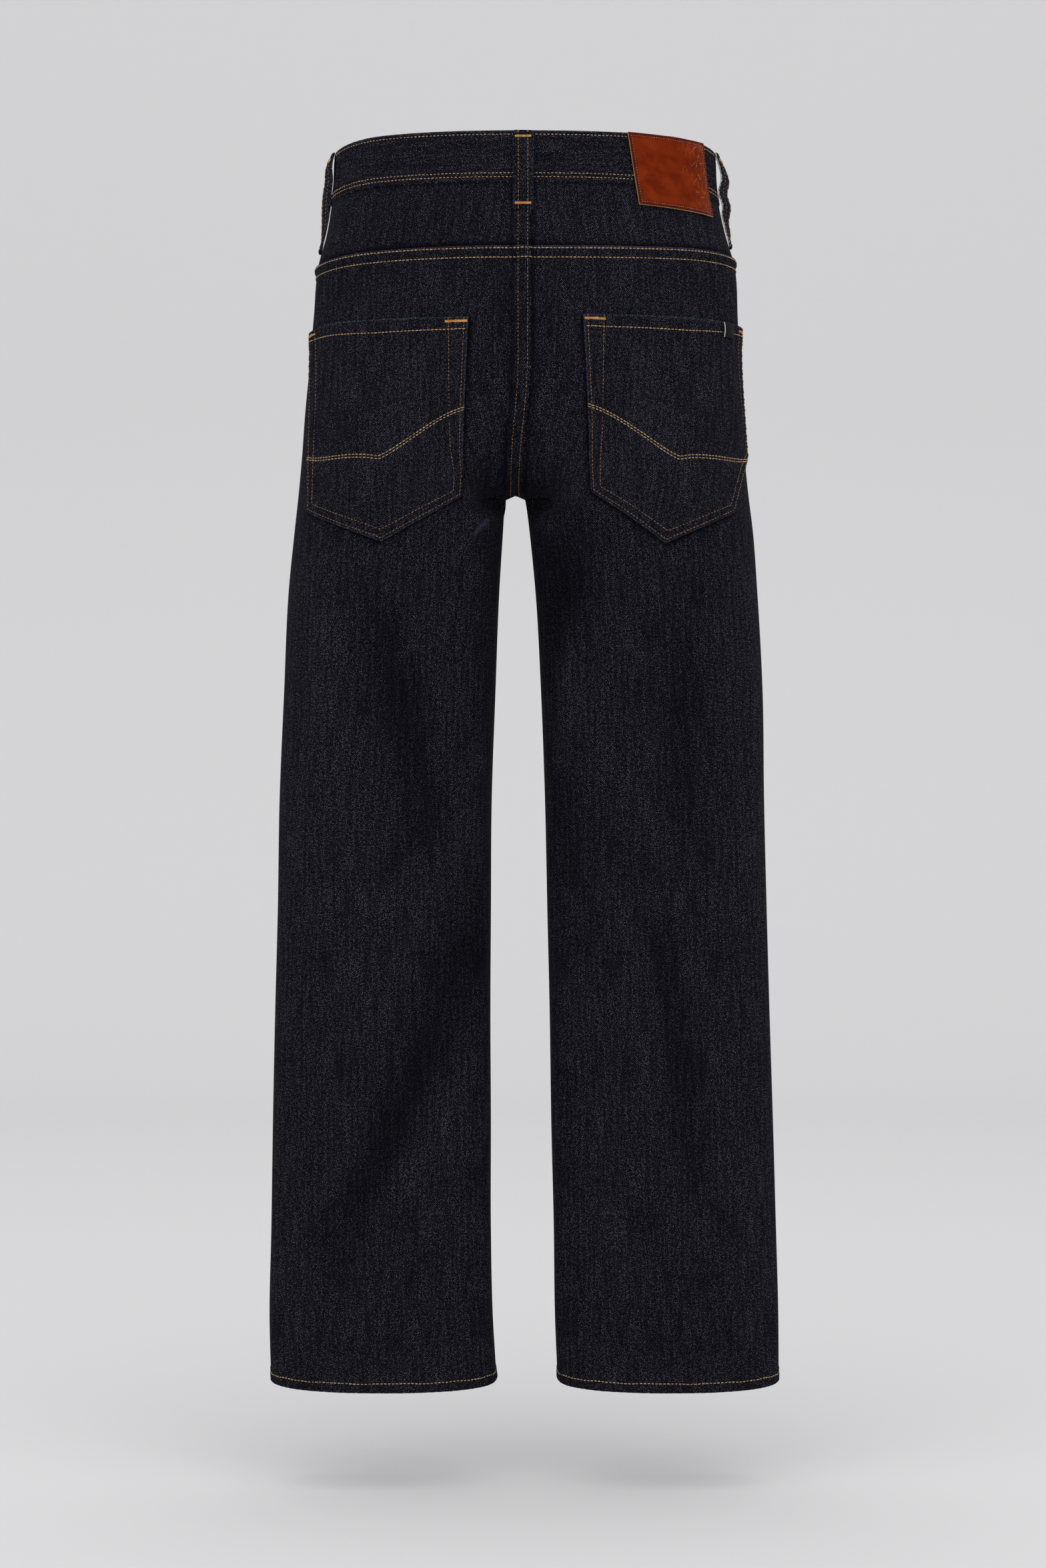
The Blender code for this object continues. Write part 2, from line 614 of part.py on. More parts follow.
def pocket_point(side, row, p, q, lift):
    """Point of a back pocket: p across from the inner edge, q down from the mouth."""
    pocket = dict(zip(POCKET_COLUMNS, row))
    foot = [pocket["low_in"], pocket["tip"], pocket["low_out"]]
    low = np.interp(p, [0, pocket["tip_at"], 1], foot)
    bend = np.clip((p - DROOP_FROM) / (1 - DROOP_FROM), 0, 1) ** 1.5
    mouth = pocket["mouth"] - pocket["droop"] * bend
    z = mouth + (low - mouth) * q
    line, turned, arc = section(side, "back", z)
    down = np.clip((pocket["mouth"] - z) / (pocket["mouth"] - pocket["low_in"]), 0, 1)
    inner_x = pocket["in_top"] + (pocket["in_low"] - pocket["in_top"]) * down
    widths = np.maximum.accumulate(line[:, 0] * SIDES[side])
    start = np.interp(inner_x, widths, arc)
    past_turn = (pocket["turn"] - z) / (pocket["turn"] - pocket["low_out"])
    outer_x = pocket["turn_x"] + (pocket["low_x"] - pocket["turn_x"]) * past_turn
    end = min(arc[-1] - pocket["out_gap"], np.interp(outer_x, widths, arc))
    point, normal = on_section(side, "back", z, start + (end - start) * p)
    return point + normal * lift, normal


def back_pocket(row):
    """Five-sided patch pocket, moved out from the back panel's points."""
    side = row[0]
    tip_at = row[POCKET_COLUMNS.index("tip_at")]
    across = np.interp(np.linspace(0, 1, 19), [0, 0.5, 1], [0, tip_at, 1])
    down = np.linspace(0, 1, 12)
    outer = np.zeros((len(down), len(across), 3))
    inner = outer.copy()
    for r, q in enumerate(down):
        for c, p in enumerate(across):
            inner[r, c], normal = pocket_point(side, row, p, q, OVER_POCKET)
            outer[r, c] = inner[r, c] + normal * CLOTH
    return outer, inner


def leather_patch():
    """Patch across the band and the top of the yoke, on the wearer's right."""
    across = np.linspace(0, 1, 12)
    down = np.linspace(0, 1, 5)
    outer = np.zeros((len(down), len(across), 3))
    inner = outer.copy()
    for r, q in enumerate(down):
        for c, p in enumerate(across):
            z = PATCH_TOP - PATCH_SLANT * p - (PATCH_HEIGHT + PATCH_GAIN * p) * q
            distance = PATCH_START + PATCH_WIDTH * p + PATCH_LEAN * (q - 0.5)
            point, normal = on_section(PATCH_SIDE, "back", z, distance)
            inner[r, c] = point + normal * OVER_PANEL
            outer[r, c] = inner[r, c] + normal * PATCH_CLOTH
    return outer, inner


def pocket_tab():
    """Woven tab that lies over the right pocket's mouth."""
    row = POCKETS[1]
    pocket = dict(zip(POCKET_COLUMNS, row))
    outer = np.zeros((3, 3, 3))
    inner = outer.copy()
    for r, q in enumerate(np.linspace(0, 1, 3)):
        for c, p in enumerate(np.linspace(0, 1, 3)):
            z = pocket["mouth"] - SEAM_GAP - TAB_HEIGHT * q
            line, turned, arc = section("right", "back", z)
            half_width = TAB_INNER_X + (TAB_OUTER_X - TAB_INNER_X) * p
            distance = np.interp(half_width, -line[:, 0], arc)
            point, normal = on_section("right", "back", z, distance)
            inner[r, c] = point + normal * (OVER_POCKET + CLOTH + SEAM_GAP)
            outer[r, c] = inner[r, c] + normal * TAB_CLOTH
    return outer, inner


def round_ring(side, u, v):
    """The surface at u and v, where u may run on past the centre seams."""
    if u < 0:
        return at("right" if side == "left" else "left", -u, v)
    return at(side, u, v)


def belt_loop(row):
    """Doubled strip that arches over the band from its top edge to below it."""
    loop = dict(zip(LOOP_COLUMNS, row))
    side = loop["side"]
    profile = LOOP_PROFILES[loop["profile"]]
    across = np.linspace(-0.5, 0.5, 3) * LOOP_WIDTH
    outer = np.zeros((len(profile), len(across), 3))
    inner = outer.copy()
    for r, (depth, stand) in enumerate(profile):
        share = np.interp(depth, [0, profile[-1][0]], [loop["share_top"], loop["share_low"]])
        u_mid = share if loop["face"] == "back" else 2 - share
        v = row_of_depth(depth)
        speed = np.linalg.norm(at(side, u_mid + 0.02, v)[0] - at(side, u_mid, v)[0]) / 0.02
        middle_normal = at(side, u_mid, v)[1]
        for c, step in enumerate(across):
            spot, normal = round_ring(side, u_mid + step / speed, v)
            inner[r, c] = spot + normal * stand
            outer[r, c] = inner[r, c] + middle_normal * LOOP_CLOTH
    return outer, inner


# ---------------------------------------------------------------- waist button


def turned(name, profile, centre, axis, material):
    """A solid turned from a profile of (radius, height) pairs about an axis."""
    steps = 24
    axis = np.array(axis) / np.linalg.norm(axis)
    across = np.cross(axis, (0, 0, 1))
    across = across / np.linalg.norm(across)
    upward = np.cross(across, axis)
    points = [np.array(centre) + axis * profile[0][1]]
    for radius, height in profile[1:-1]:
        for k in range(steps):
            angle = 2 * np.pi * k / steps
            ring = across * np.cos(angle) + upward * np.sin(angle)
            points.append(np.array(centre) + axis * height + ring * radius)
    points.append(np.array(centre) + axis * profile[-1][1])
    faces = []
    last = len(points) - 1
    rings = len(profile) - 2
    for k in range(steps):
        after = (k + 1) % steps
        faces.append((0, 1 + after, 1 + k))
        for r in range(rings - 1):
            a = 1 + r * steps
            faces.append((a + k, a + after, a + steps + after, a + steps + k))
        end = 1 + (rings - 1) * steps
        faces.append((end + k, end + after, last))
    return made_object(name, points, faces, material)


def waist_button(band_outer):
    """Shank button on the band's lapped end."""
    face = band_outer[1:3, 0:2]
    centre = face.mean(axis=(0, 1))
    normal = np.cross(face[0, 1] - face[1, 0], face[0, 0] - face[1, 1])
    normal = normal / np.linalg.norm(normal)
    normal = normal * -np.sign(normal[1])
    seat = SEAM_GAP
    profile = (
        (0.0, seat),
        (BUTTON_SHANK_RADIUS, seat),
        (BUTTON_SHANK_RADIUS, seat + 0.0012),
        (BUTTON_RADIUS - 0.0006, seat + 0.0013),
        (BUTTON_RADIUS, seat + 0.0020),
        (BUTTON_RADIUS - 0.0006, seat + BUTTON_HEAD),
        (BUTTON_RADIUS * 0.55, seat + BUTTON_HEAD + 0.0004),
        (0.0, seat + BUTTON_HEAD + 0.0005),
    )
    return turned("waist_button", profile, centre, normal, COPPER_FINISH)


# ---------------------------------------------------------------- scene


def finish(name, colour, roughness, metallic=0.0):
    """A Principled material."""
    material = bpy.data.materials.new(name)
    material.use_nodes = True
    shader = material.node_tree.nodes["Principled BSDF"]
    shader.inputs["Base Color"].default_value = (*colour, 1.0)
    shader.inputs["Roughness"].default_value = roughness
    shader.inputs["Metallic"].default_value = metallic
    return material


for old in list(bpy.data.objects):
    bpy.data.objects.remove(old, do_unlink=True)

GARMENT = bpy.data.collections.new("straight_leg_jeans")
bpy.context.scene.collection.children.link(GARMENT)
COPPER_FINISH = finish("copper_button", COPPER, 0.35, 1.0)
LEATHER_FINISH = finish("tan_leather", LEATHER, 0.45)
TAB_FINISH = finish("woven_tab", BLACK_TAB, 0.8)


def denim(name):
    """Each denim piece has its own copy of the cloth's finish."""
    return finish(name + "_denim", DENIM, 0.85)


for half in SIDES:
    wall("back_panel_" + half, *back_panel(half), denim("back_panel_" + half))
    wall("front_panel_" + half, *front_panel(half), denim("front_panel_" + half))
    wall("yoke_" + half, *yoke(half), denim("yoke_" + half))
    wall("pocket_facing_" + half, *pocket_facing(half), denim("pocket_facing_" + half))

for pocket_row in POCKETS:
    pocket_name = "back_pocket_" + pocket_row[0]
    wall(pocket_name, *back_pocket(pocket_row), denim(pocket_name))

for loop_row in LOOPS:
    wall(loop_row[0], *belt_loop(loop_row), denim(loop_row[0]))

BAND_OUTER, BAND_INNER = waistband()
wall("waistband", BAND_OUTER, BAND_INNER, denim("waistband"))
wall("leather_patch", *leather_patch(), LEATHER_FINISH)
wall("pocket_tab", *pocket_tab(), TAB_FINISH)
waist_button(BAND_OUTER)
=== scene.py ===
# %% [markdown]
# # A pair of straight leg jeans, seen from the back
#
# The real thing is dark indigo denim, cut flat, felled together with tan thread and worn, so
# it stands open like a tube with two legs. The solids in the frame already have that shape
# with one wall for each cut piece. This lesson dresses them: each piece of cloth gets a finer
# shell with creases, rolled edges and a weave, and then the sewing, the leather patch and the
# woven tab go on top.

import bpy
import numpy as np
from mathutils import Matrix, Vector


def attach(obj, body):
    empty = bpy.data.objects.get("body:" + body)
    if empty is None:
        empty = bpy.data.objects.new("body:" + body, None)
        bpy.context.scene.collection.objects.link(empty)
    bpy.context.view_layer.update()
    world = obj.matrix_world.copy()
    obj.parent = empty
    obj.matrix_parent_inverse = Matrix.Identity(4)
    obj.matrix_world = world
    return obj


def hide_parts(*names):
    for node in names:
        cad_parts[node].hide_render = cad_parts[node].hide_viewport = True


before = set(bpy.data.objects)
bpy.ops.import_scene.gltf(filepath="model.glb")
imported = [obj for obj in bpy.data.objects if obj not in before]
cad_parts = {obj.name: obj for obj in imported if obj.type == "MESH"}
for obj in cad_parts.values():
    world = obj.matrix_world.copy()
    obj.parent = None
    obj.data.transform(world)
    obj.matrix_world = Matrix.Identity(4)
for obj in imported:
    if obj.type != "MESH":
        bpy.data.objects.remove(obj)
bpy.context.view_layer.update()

# %% [markdown]
# ## Three small helpers
#
# Colours are picked as sRGB hex values, the way a dye card gives them, but shaders work in
# linear light. One function turns the first into the second. Another adds a node to a tree
# in a single call, for materials and for geometry alike: an input takes a value or a wire.
# The third puts a mesh, a lamp or a camera into the scene, at the origin.

# %% Colour and node helpers


def linear(code):
    """An sRGB hex value as linear red, green, blue and alpha."""
    parts = [int(code[k:k + 2], 16) / 255 for k in (1, 3, 5)]
    light = [c / 12.92 if c <= 0.04045 else ((c + 0.055) / 1.055) ** 2.4 for c in parts]
    return (*light, 1.0)


def add_node(tree, kind, inputs=None, output=0, **settings):
    """Adds a node, fills or wires its inputs, and gives the output that is used."""
    made = tree.nodes.new(kind)
    for name, value in settings.items():
        setattr(made, name, value)
    for socket, given in (inputs or {}).items():
        if isinstance(given, bpy.types.NodeSocket):
            tree.links.new(given, made.inputs[socket])
        else:
            made.inputs[socket].default_value = given
    return made.outputs[output] if made.outputs else made


def put_in_scene(name, data):
    """An object that holds the data, linked to the scene."""
    thing = bpy.data.objects.new(name, data)
    bpy.context.scene.collection.objects.link(thing)
    return thing


print("indigo in linear light", [round(c, 4) for c in linear("#1d1f2b")])

# %% [markdown]
# ## The cut of the garment
#
# A pattern maker thinks of jeans as rings: waist, seat, crotch, knee, hem. Each row below is
# one ring of the cloth, with its half widths and how far it stands to the back and the front.
# They are the same rings that the solids were lofted through, so the finer shells land on
# them. Every length is in metres.

# %% Rings and seam allowances
SEAM_GAP = 0.0003
CLOTH = 0.0012  # one layer of heavy denim
HEM_CLOTH = 0.0026  # denim folded twice at the hem
HEM_HEIGHT = 0.012
BAND_CLOTH = 0.0024
BAND_HEIGHT = 0.045
LOOP_CLOTH = 0.0022
LOOP_WIDTH = 0.0175
PATCH_CLOTH = 0.0015
TAB_CLOTH = 0.0010

WAIST_RISE_BACK = 0.0047
WAIST_DROP_FRONT = 0.024
SEAT_Z = -0.200
CROTCH_Z = -0.310
CROTCH_SIDE_Z = -0.335
HEM_Z = -1.1155
CROTCH_X = 0.0070
SADDLE_ROUND = 0.0035
HEM_BACK_DROP = 0.0047
YOKE_DEPTH = 0.107
YOKE_SIDE_DROP = {"left": 0.003, "right": -0.004}

FLY_DEPTH = 0.200
FLY_LAP = 0.006
FLY_RAMP = 0.23  # in u, as the next three
BAND_LAP_RAMP = 0.31
POCKET_MOUTH_REACH = 0.365
FACING_UNDERLAP = 0.054
BAND_LAP = 0.040
POCKET_MOUTH_DEPTH = 0.125

SIDES = {"left": 1.0, "right": -1.0}
OVER_PANEL = 3 * SEAM_GAP
OVER_POCKET = 4 * SEAM_GAP
FACING_LIFT = CLOTH + 5 * SEAM_GAP

TORSO_COLUMNS = ("z", "left_out", "right_out", "y_back", "y_side", "y_front")
TORSO = (
    (0.010, 0.1715, 0.1755, 0.098, 0.000, -0.096),
    (-0.045, 0.1745, 0.1785, 0.102, 0.003, -0.100),
    (-0.075, 0.1792, 0.1848, 0.106, 0.007, -0.104),
    (-0.100, 0.1858, 0.1920, 0.109, 0.010, -0.107),
    (-0.149, 0.1902, 0.1952, 0.113, 0.014, -0.111),
    (-0.200, 0.1945, 0.1962, 0.114, 0.015, -0.112),
    (-0.246, 0.1990, 0.1992, 0.112, 0.013, -0.110),
    (-0.283, 0.2016, 0.2022, 0.109, 0.010, -0.107),
    (-0.344, 0.2082, 0.2096, 0.102, 0.004, -0.100),
)
LEG_COLUMNS = ("z", "left_out", "left_in", "right_out", "right_in", "y_back", "y_side", "y_front")
LEG = (
    (-0.200, 0.1945, 0.0070, 0.1962, 0.0070, 0.114, 0.015, -0.112),
    (-0.283, 0.2016, 0.0130, 0.2022, 0.0010, 0.109, 0.010, -0.107),
    (-0.310, 0.2043, 0.0160, 0.2052, -0.0020, 0.106, 0.007, -0.104),
    (-0.344, 0.2082, 0.0183, 0.2096, -0.0061, 0.102, 0.004, -0.100),
    (-0.393, 0.2135, 0.0214, 0.2135, -0.0110, 0.094, 0.000, -0.095),
    (-0.490, 0.2184, 0.0252, 0.2190, -0.0165, 0.079, -0.003, -0.087),
    (-0.588, 0.2228, 0.0286, 0.2206, -0.0201, 0.067, -0.006, -0.079),
    (-0.686, 0.2245, 0.0293, 0.2231, -0.0222, 0.058, -0.007, -0.071),
    (-0.783, 0.2269, 0.0298, 0.2257, -0.0244, 0.052, -0.005, -0.063),
    (-0.881, 0.2287, 0.0293, 0.2286, -0.0258, 0.049, -0.002, -0.056),
    (-0.978, 0.2300, 0.0293, 0.2312, -0.0281, 0.048, 0.000, -0.050),
    (-1.060, 0.2316, 0.0275, 0.2333, -0.0292, 0.049, 0.001, -0.048),
    (-1.120, 0.2300, 0.0238, 0.2336, -0.0317, 0.050, 0.001, -0.047),
)
RING_POWER = 2.25
CROTCH_SPREAD = 0.016
CROTCH_SPREAD_AT = 0.10
CROTCH_EASE = 0.030
WAIST_FADE = 1.28  # the waist's slope is gone before the seat
SEAM_SETTLE = 0.08  # the inseam's level nears the outseam's over this fall below the crotch
print(len(TORSO), "rings in the seat and", len(LEG), "in each leg")

# %% [markdown]
# ## Creases
#
# Worn denim breaks into long soft troughs and ridges where it hangs, and into short, sharper
# ones where it is held: under the band, at the crotch and behind the knee. Each row is one
# crease, from a start to an end on the back or the front, with how wide and how high it is.
# The first table holds the big folds that the solids have too. The second holds the small
# ones that only a fine mesh can carry. The third is colour alone: paler where the dye is
# worn, and darker as painted shade in the troughs of folds, down the seat's middle, under
# the band and near a hem.

# %% Folds and creases
FOLD_COLUMNS = ("face", "x0", "z0", "x1", "z1", "spread", "height")
FOLDS = (
    ("back", 0.035, -0.690, 0.168, -0.990, 0.024, -0.0050),
    ("back", 0.040, -0.840, 0.120, -0.960, 0.022, 0.0025),
    ("back", 0.132, -0.410, 0.085, -0.620, 0.022, -0.0035),
    ("back", 0.176, -0.380, 0.168, -0.700, 0.020, 0.0025),
    ("back", 0.018, -0.318, 0.062, -0.370, 0.014, 0.0030),
    ("back", 0.034, -0.560, 0.100, -0.690, 0.016, 0.0025),
    ("back", 0.066, -0.760, 0.150, -0.900, 0.016, 0.0015),
    ("back", -0.050, -0.345, -0.018, -0.470, 0.020, -0.0035),
    ("back", -0.036, -0.430, -0.044, -0.560, 0.013, 0.0022),
    ("back", -0.030, -0.590, -0.052, -0.740, 0.020, -0.0030),
    ("back", -0.184, -0.370, -0.196, -0.720, 0.018, -0.0020),
    ("back", -0.206, -0.380, -0.210, -0.690, 0.018, 0.0022),
    ("back", -0.118, -0.690, -0.158, -0.925, 0.016, -0.0045),
    ("back", -0.092, -0.700, -0.122, -0.900, 0.018, 0.0022),
    ("back", -0.125, -0.400, -0.150, -0.640, 0.022, -0.0022),
    ("front", 0.020, -0.300, 0.130, -0.250, 0.018, 0.0035),
    ("front", 0.030, -0.345, 0.150, -0.330, 0.018, -0.0030),
    ("front", -0.012, -0.300, -0.120, -0.242, 0.017, 0.0030),
    ("front", -0.030, -0.350, -0.150, -0.318, 0.018, -0.0030),
    ("front", 0.050, -0.620, 0.190, -0.665, 0.020, -0.0030),
    ("front", 0.060, -0.720, 0.170, -0.690, 0.018, 0.0028),
    ("front", -0.060, -0.640, -0.190, -0.680, 0.020, -0.0030),
    ("front", -0.050, -0.735, -0.150, -0.700, 0.018, 0.0028),
    ("front", 0.090, -0.800, 0.150, -1.010, 0.022, 0.0030),
    ("front", -0.100, -0.790, -0.160, -1.000, 0.022, 0.0028),
)
CREASES = (
    ("back", 0.004, -0.316, 0.050, -0.345, 0.006, 0.0016),
    ("back", 0.010, -0.330, 0.046, -0.380, 0.008, -0.0014),
    ("back", 0.022, -0.352, 0.066, -0.420, 0.008, 0.0012),
    ("back", 0.000, -0.322, -0.030, -0.350, 0.007, 0.0014),
    ("back", -0.008, -0.338, -0.034, -0.392, 0.008, -0.0014),
    ("back", 0.054, -0.530, 0.034, -0.562, 0.007, 0.0011),
    ("back", 0.034, -0.572, 0.062, -0.598, 0.006, -0.0010),
    ("back", 0.036, -0.612, 0.070, -0.640, 0.006, 0.0011),
    ("back", 0.078, -0.600, 0.128, -0.655, 0.011, -0.0014),
    ("back", 0.112, -0.575, 0.160, -0.618, 0.010, 0.0011),
    ("back", 0.034, -0.850, 0.052, -0.862, 0.005, -0.0012),
    ("back", 0.033, -0.905, 0.062, -0.922, 0.006, 0.0012),
    ("back", 0.033, -0.920, 0.055, -0.934, 0.005, -0.0011),
    ("back", 0.140, -0.890, 0.186, -0.955, 0.010, 0.0012),
    ("back", 0.072, -0.985, 0.120, -1.040, 0.012, -0.0010),
    ("back", 0.190, -0.430, 0.200, -0.520, 0.008, -0.0010),
    ("back", 0.198, -0.560, 0.206, -0.660, 0.008, 0.0009),
    ("back", -0.024, -0.660, -0.054, -0.690, 0.006, 0.0010),
    ("back", -0.028, -0.812, -0.052, -0.832, 0.006, 0.0012),
    ("back", -0.030, -0.832, -0.060, -0.846, 0.005, -0.0011),
    ("back", -0.084, -0.560, -0.130, -0.628, 0.011, 0.0012),
    ("back", -0.066, -0.602, -0.110, -0.668, 0.011, -0.0013),
    ("back", -0.176, -0.905, -0.212, -0.950, 0.009, 0.0014),
    ("back", -0.160, -0.945, -0.196, -0.985, 0.010, -0.0011),
    ("back", -0.070, -0.950, -0.100, -1.030, 0.013, 0.0010),
    ("back", -0.196, -0.450, -0.203, -0.600, 0.008, -0.0009),
    ("back", 0.030, -0.066, 0.066, -0.078, 0.004, 0.0005),
    ("back", 0.044, -0.074, 0.104, -0.082, 0.005, -0.0006),
    ("back", 0.082, -0.066, 0.118, -0.071, 0.004, 0.0004),
    ("back", -0.020, -0.070, -0.060, -0.092, 0.006, 0.0005),
    ("back", -0.030, -0.062, -0.080, -0.070, 0.004, -0.0004),
    ("back", 0.010, -0.110, 0.028, -0.180, 0.010, -0.0010),
    ("back", -0.012, -0.118, -0.034, -0.200, 0.010, -0.0009),
    ("back", 0.016, -0.215, 0.046, -0.280, 0.010, 0.0012),
    ("back", -0.010, -0.220, -0.038, -0.290, 0.010, 0.0011),
    ("back", 0.100, -0.190, 0.112, -0.300, 0.016, 0.0010),
    ("back", -0.100, -0.190, -0.118, -0.300, 0.016, 0.0010),
    ("back", 0.150, -0.120, 0.168, -0.150, 0.010, -0.0008),
    ("back", -0.148, -0.120, -0.172, -0.152, 0.010, -0.0008),
    ("front", 0.012, -0.270, 0.070, -0.245, 0.008, 0.0016),
    ("front", 0.014, -0.285, 0.080, -0.272, 0.007, -0.0014),
    ("front", -0.008, -0.272, -0.066, -0.246, 0.008, 0.0015),
    ("front", -0.010, -0.290, -0.072, -0.276, 0.007, -0.0013),
    ("front", 0.030, -0.375, 0.096, -0.392, 0.010, 0.0012),
    ("front", -0.024, -0.380, -0.092, -0.398, 0.010, 0.0012),
    ("front", 0.150, -0.560, 0.060, -0.590, 0.011, 0.0012),
    ("front", -0.150, -0.575, -0.060, -0.600, 0.011, 0.0012),
    ("front", 0.140, -0.760, 0.070, -0.790, 0.011, -0.0011),
    ("front", -0.140, -0.775, -0.070, -0.800, 0.011, -0.0011),
    ("front", 0.060, -0.930, 0.130, -0.960, 0.012, 0.0012),
    ("front", -0.070, -0.950, -0.150, -0.985, 0.012, -0.0012),
)
FADES_AND_PAINTED_SHADE = (  # same columns; the last is how much paler the worn dye is there, or, below nought, how much painted shade darkens it
    ("back", -0.040, -0.070, -0.165, -0.085, 0.040, 0.12),
    ("back", 0.030, -0.075, 0.150, -0.085, 0.030, -0.08),
    ("back", -0.035, -0.150, -0.060, -0.125, 0.030, 0.06),
    ("back", 0.012, -0.160, 0.012, -0.330, 0.022, -0.11),
    ("back", 0.090, -0.180, 0.115, -0.300, 0.045, 0.06),
    ("back", -0.120, -0.180, -0.115, -0.300, 0.050, 0.10),
    ("back", 0.172, -0.370, 0.186, -0.560, 0.017, 0.10),
    ("back", -0.186, -0.370, -0.200, -0.690, 0.018, 0.13),
    ("back", 0.130, -0.400, 0.080, -0.620, 0.022, -0.12),
    ("back", -0.045, -0.350, -0.040, -0.470, 0.026, -0.13),
    ("back", -0.154, -0.390, -0.140, -0.660, 0.016, -0.10),
    ("back", -0.040, -0.440, -0.042, -0.530, 0.006, 0.18),
    ("back", 0.045, -0.545, 0.050, -0.640, 0.012, 0.14),
    ("back", 0.062, -0.590, 0.090, -0.680, 0.014, -0.10),
    ("back", 0.008, -0.300, 0.019, -0.324, 0.0024, 0.40),
    ("back", 0.017, -0.320, 0.048, -0.357, 0.0026, 0.42),
    ("back", 0.130, -0.690, 0.155, -0.780, 0.030, 0.10),
    ("back", 0.034, -0.690, 0.168, -0.990, 0.020, -0.10),
    ("back", -0.036, -0.660, -0.050, -0.790, 0.022, 0.10),
    ("back", -0.070, -0.760, -0.155, -0.930, 0.012, -0.09),
    ("back", -0.190, -0.900, -0.214, -0.980, 0.022, 0.10),
    ("back", -0.090, -1.010, -0.180, -1.080, 0.040, -0.06),
    ("front", 0.120, -0.400, 0.130, -0.760, 0.045, 0.10),
    ("front", -0.120, -0.400, -0.130, -0.760, 0.045, 0.10),
)
print(len(FOLDS), "folds,", len(CREASES), "creases and", len(FADES_AND_PAINTED_SHADE), "fades")

# %% [markdown]
# ## The garment as one surface
#
# Half a pair of jeans can be unrolled into a sheet. Here `u` runs round it, from centre back
# over the outseam to centre front, and `v` runs down it, from the waist edge past the seat
# and the crotch to the hem. Reading a few rings through a smooth curve gives a point for any
# `u` and `v`, so a panel, a stitch row or a pocket can all be placed in the same terms.

# %% Curves through the rings


def column(columns, table, name):
    """One named column of a table, as an array."""
    place = columns.index(name)
    return np.array([row[place] for row in table])


def step_of(marks, x):
    """Which step between rising marks holds x, and what share of that step lies before x."""
    k = np.clip(np.searchsorted(marks, x, side="right") - 1, 0, len(marks) - 2)
    return k, (x - marks[k]) / (marks[k + 1] - marks[k])


def curve_through(xs, ys, at_x):
    """A smooth curve through points, read at new places and level past its ends."""
    slopes = np.gradient(ys, xs)
    k, t = step_of(xs, np.clip(at_x, xs[0], xs[-1]))
    span = xs[k + 1] - xs[k]
    rise = 3 * t**2 - 2 * t**3
    start = (t**3 - 2 * t**2 + t) * span * slopes[k]
    end = (t**3 - t**2) * span * slopes[k + 1]
    return ys[k] * (1 - rise) + ys[k + 1] * rise + start + end


def smooth(columns, table, name, z):
    """A column read at height z along a smooth curve through its rows."""
    return curve_through(column(columns, table, "z")[::-1], column(columns, table, name)[::-1], z)


def ease(t):
    """0 to 1 with level ends."""
    t = np.clip(t, 0.0, 1.0)
    return t * t * (3 - 2 * t)


def bell(distance, wide):
    """1 on a line and nearly 0 two widths away from it."""
    return np.exp(-((distance / wide) ** 2))


def unit(vectors):
    """The vectors at length one."""
    return vectors / np.maximum(np.linalg.norm(vectors, axis=-1, keepdims=True), 1e-12)


def paired(a, b):
    """Two sets of numbers as arrays of one shape."""
    return np.broadcast_arrays(np.asarray(a, float), np.asarray(b, float))


def bent(cosine, power):
    """A cosine or sine with the roundness of a superellipse."""
    return np.sign(cosine) * np.abs(cosine) ** (2.0 / power)


print("the hem is", round(float(smooth(LEG_COLUMNS, LEG, "left_out", HEM_Z)), 3), "m out")

# %% Rings at every level


def waist_level(u):
    """Height of the waist edge over the side's level."""
    back = WAIST_RISE_BACK * (1 - ease(2 * u - 1))
    front = WAIST_DROP_FRONT * ease(u - 1)
    return back - front


def heights(u, v):
    """Level of the surface at the seam side and at (u, v) itself."""
    upper = np.clip(v, 0, 1)
    middle = np.clip(v - 1, 0, 1)
    lower = np.clip(v - 2, 0, 1)
    outer = SEAT_Z * upper + (CROTCH_SIDE_Z - SEAT_Z) * middle + (HEM_Z - CROTCH_SIDE_Z) * lower
    curve = SEAT_Z * upper + (CROTCH_Z - SEAT_Z) * np.sin(middle * np.pi / 2)
    drop = (CROTCH_SIDE_Z - outer) * lower / np.maximum(lower, 1e-9)
    leg = outer + (CROTCH_Z - CROTCH_SIDE_Z) * np.exp(-drop / SEAM_SETTLE)
    seam = np.where(v <= 2, curve, leg)
    inner_share = ease(2 * np.minimum(u, 2 - u))
    z = seam + (outer - seam) * inner_share
    z = z + waist_level(u) * ease(WAIST_FADE * (1 - upper))
    back = np.abs(np.sin(np.clip(u, 0, 1) * np.pi)) ** 0.7 * ease(lower)
    return seam, z - HEM_BACK_DROP * back


def centre_line(z):
    """x of the centre seams, which drift to the left on their way down to the crotch."""
    return CROTCH_X * ease((SEAT_Z - z) / (SEAT_Z - CROTCH_Z))


def ring_depth(columns, table, u, z):
    """y of a ring's side at height z, and how far it reaches to the back or front from there."""
    level = smooth(columns, table, "y_side", z)
    y_back = smooth(columns, table, "y_back", z)
    y_front = smooth(columns, table, "y_front", z)
    return level, np.where(u <= 1, y_back - level, level - y_front)


def torso_ring(side, u, z):
    """x and y of the seat's ring at height z."""
    half_turn = (1 - u) * np.pi / 2
    wide = smooth(TORSO_COLUMNS, TORSO, side + "_out", z)
    level, depth = ring_depth(TORSO_COLUMNS, TORSO, u, z)
    x = wide * bent(np.cos(half_turn), RING_POWER) * SIDES[side]
    return x, level + depth * bent(np.sin(half_turn), RING_POWER)


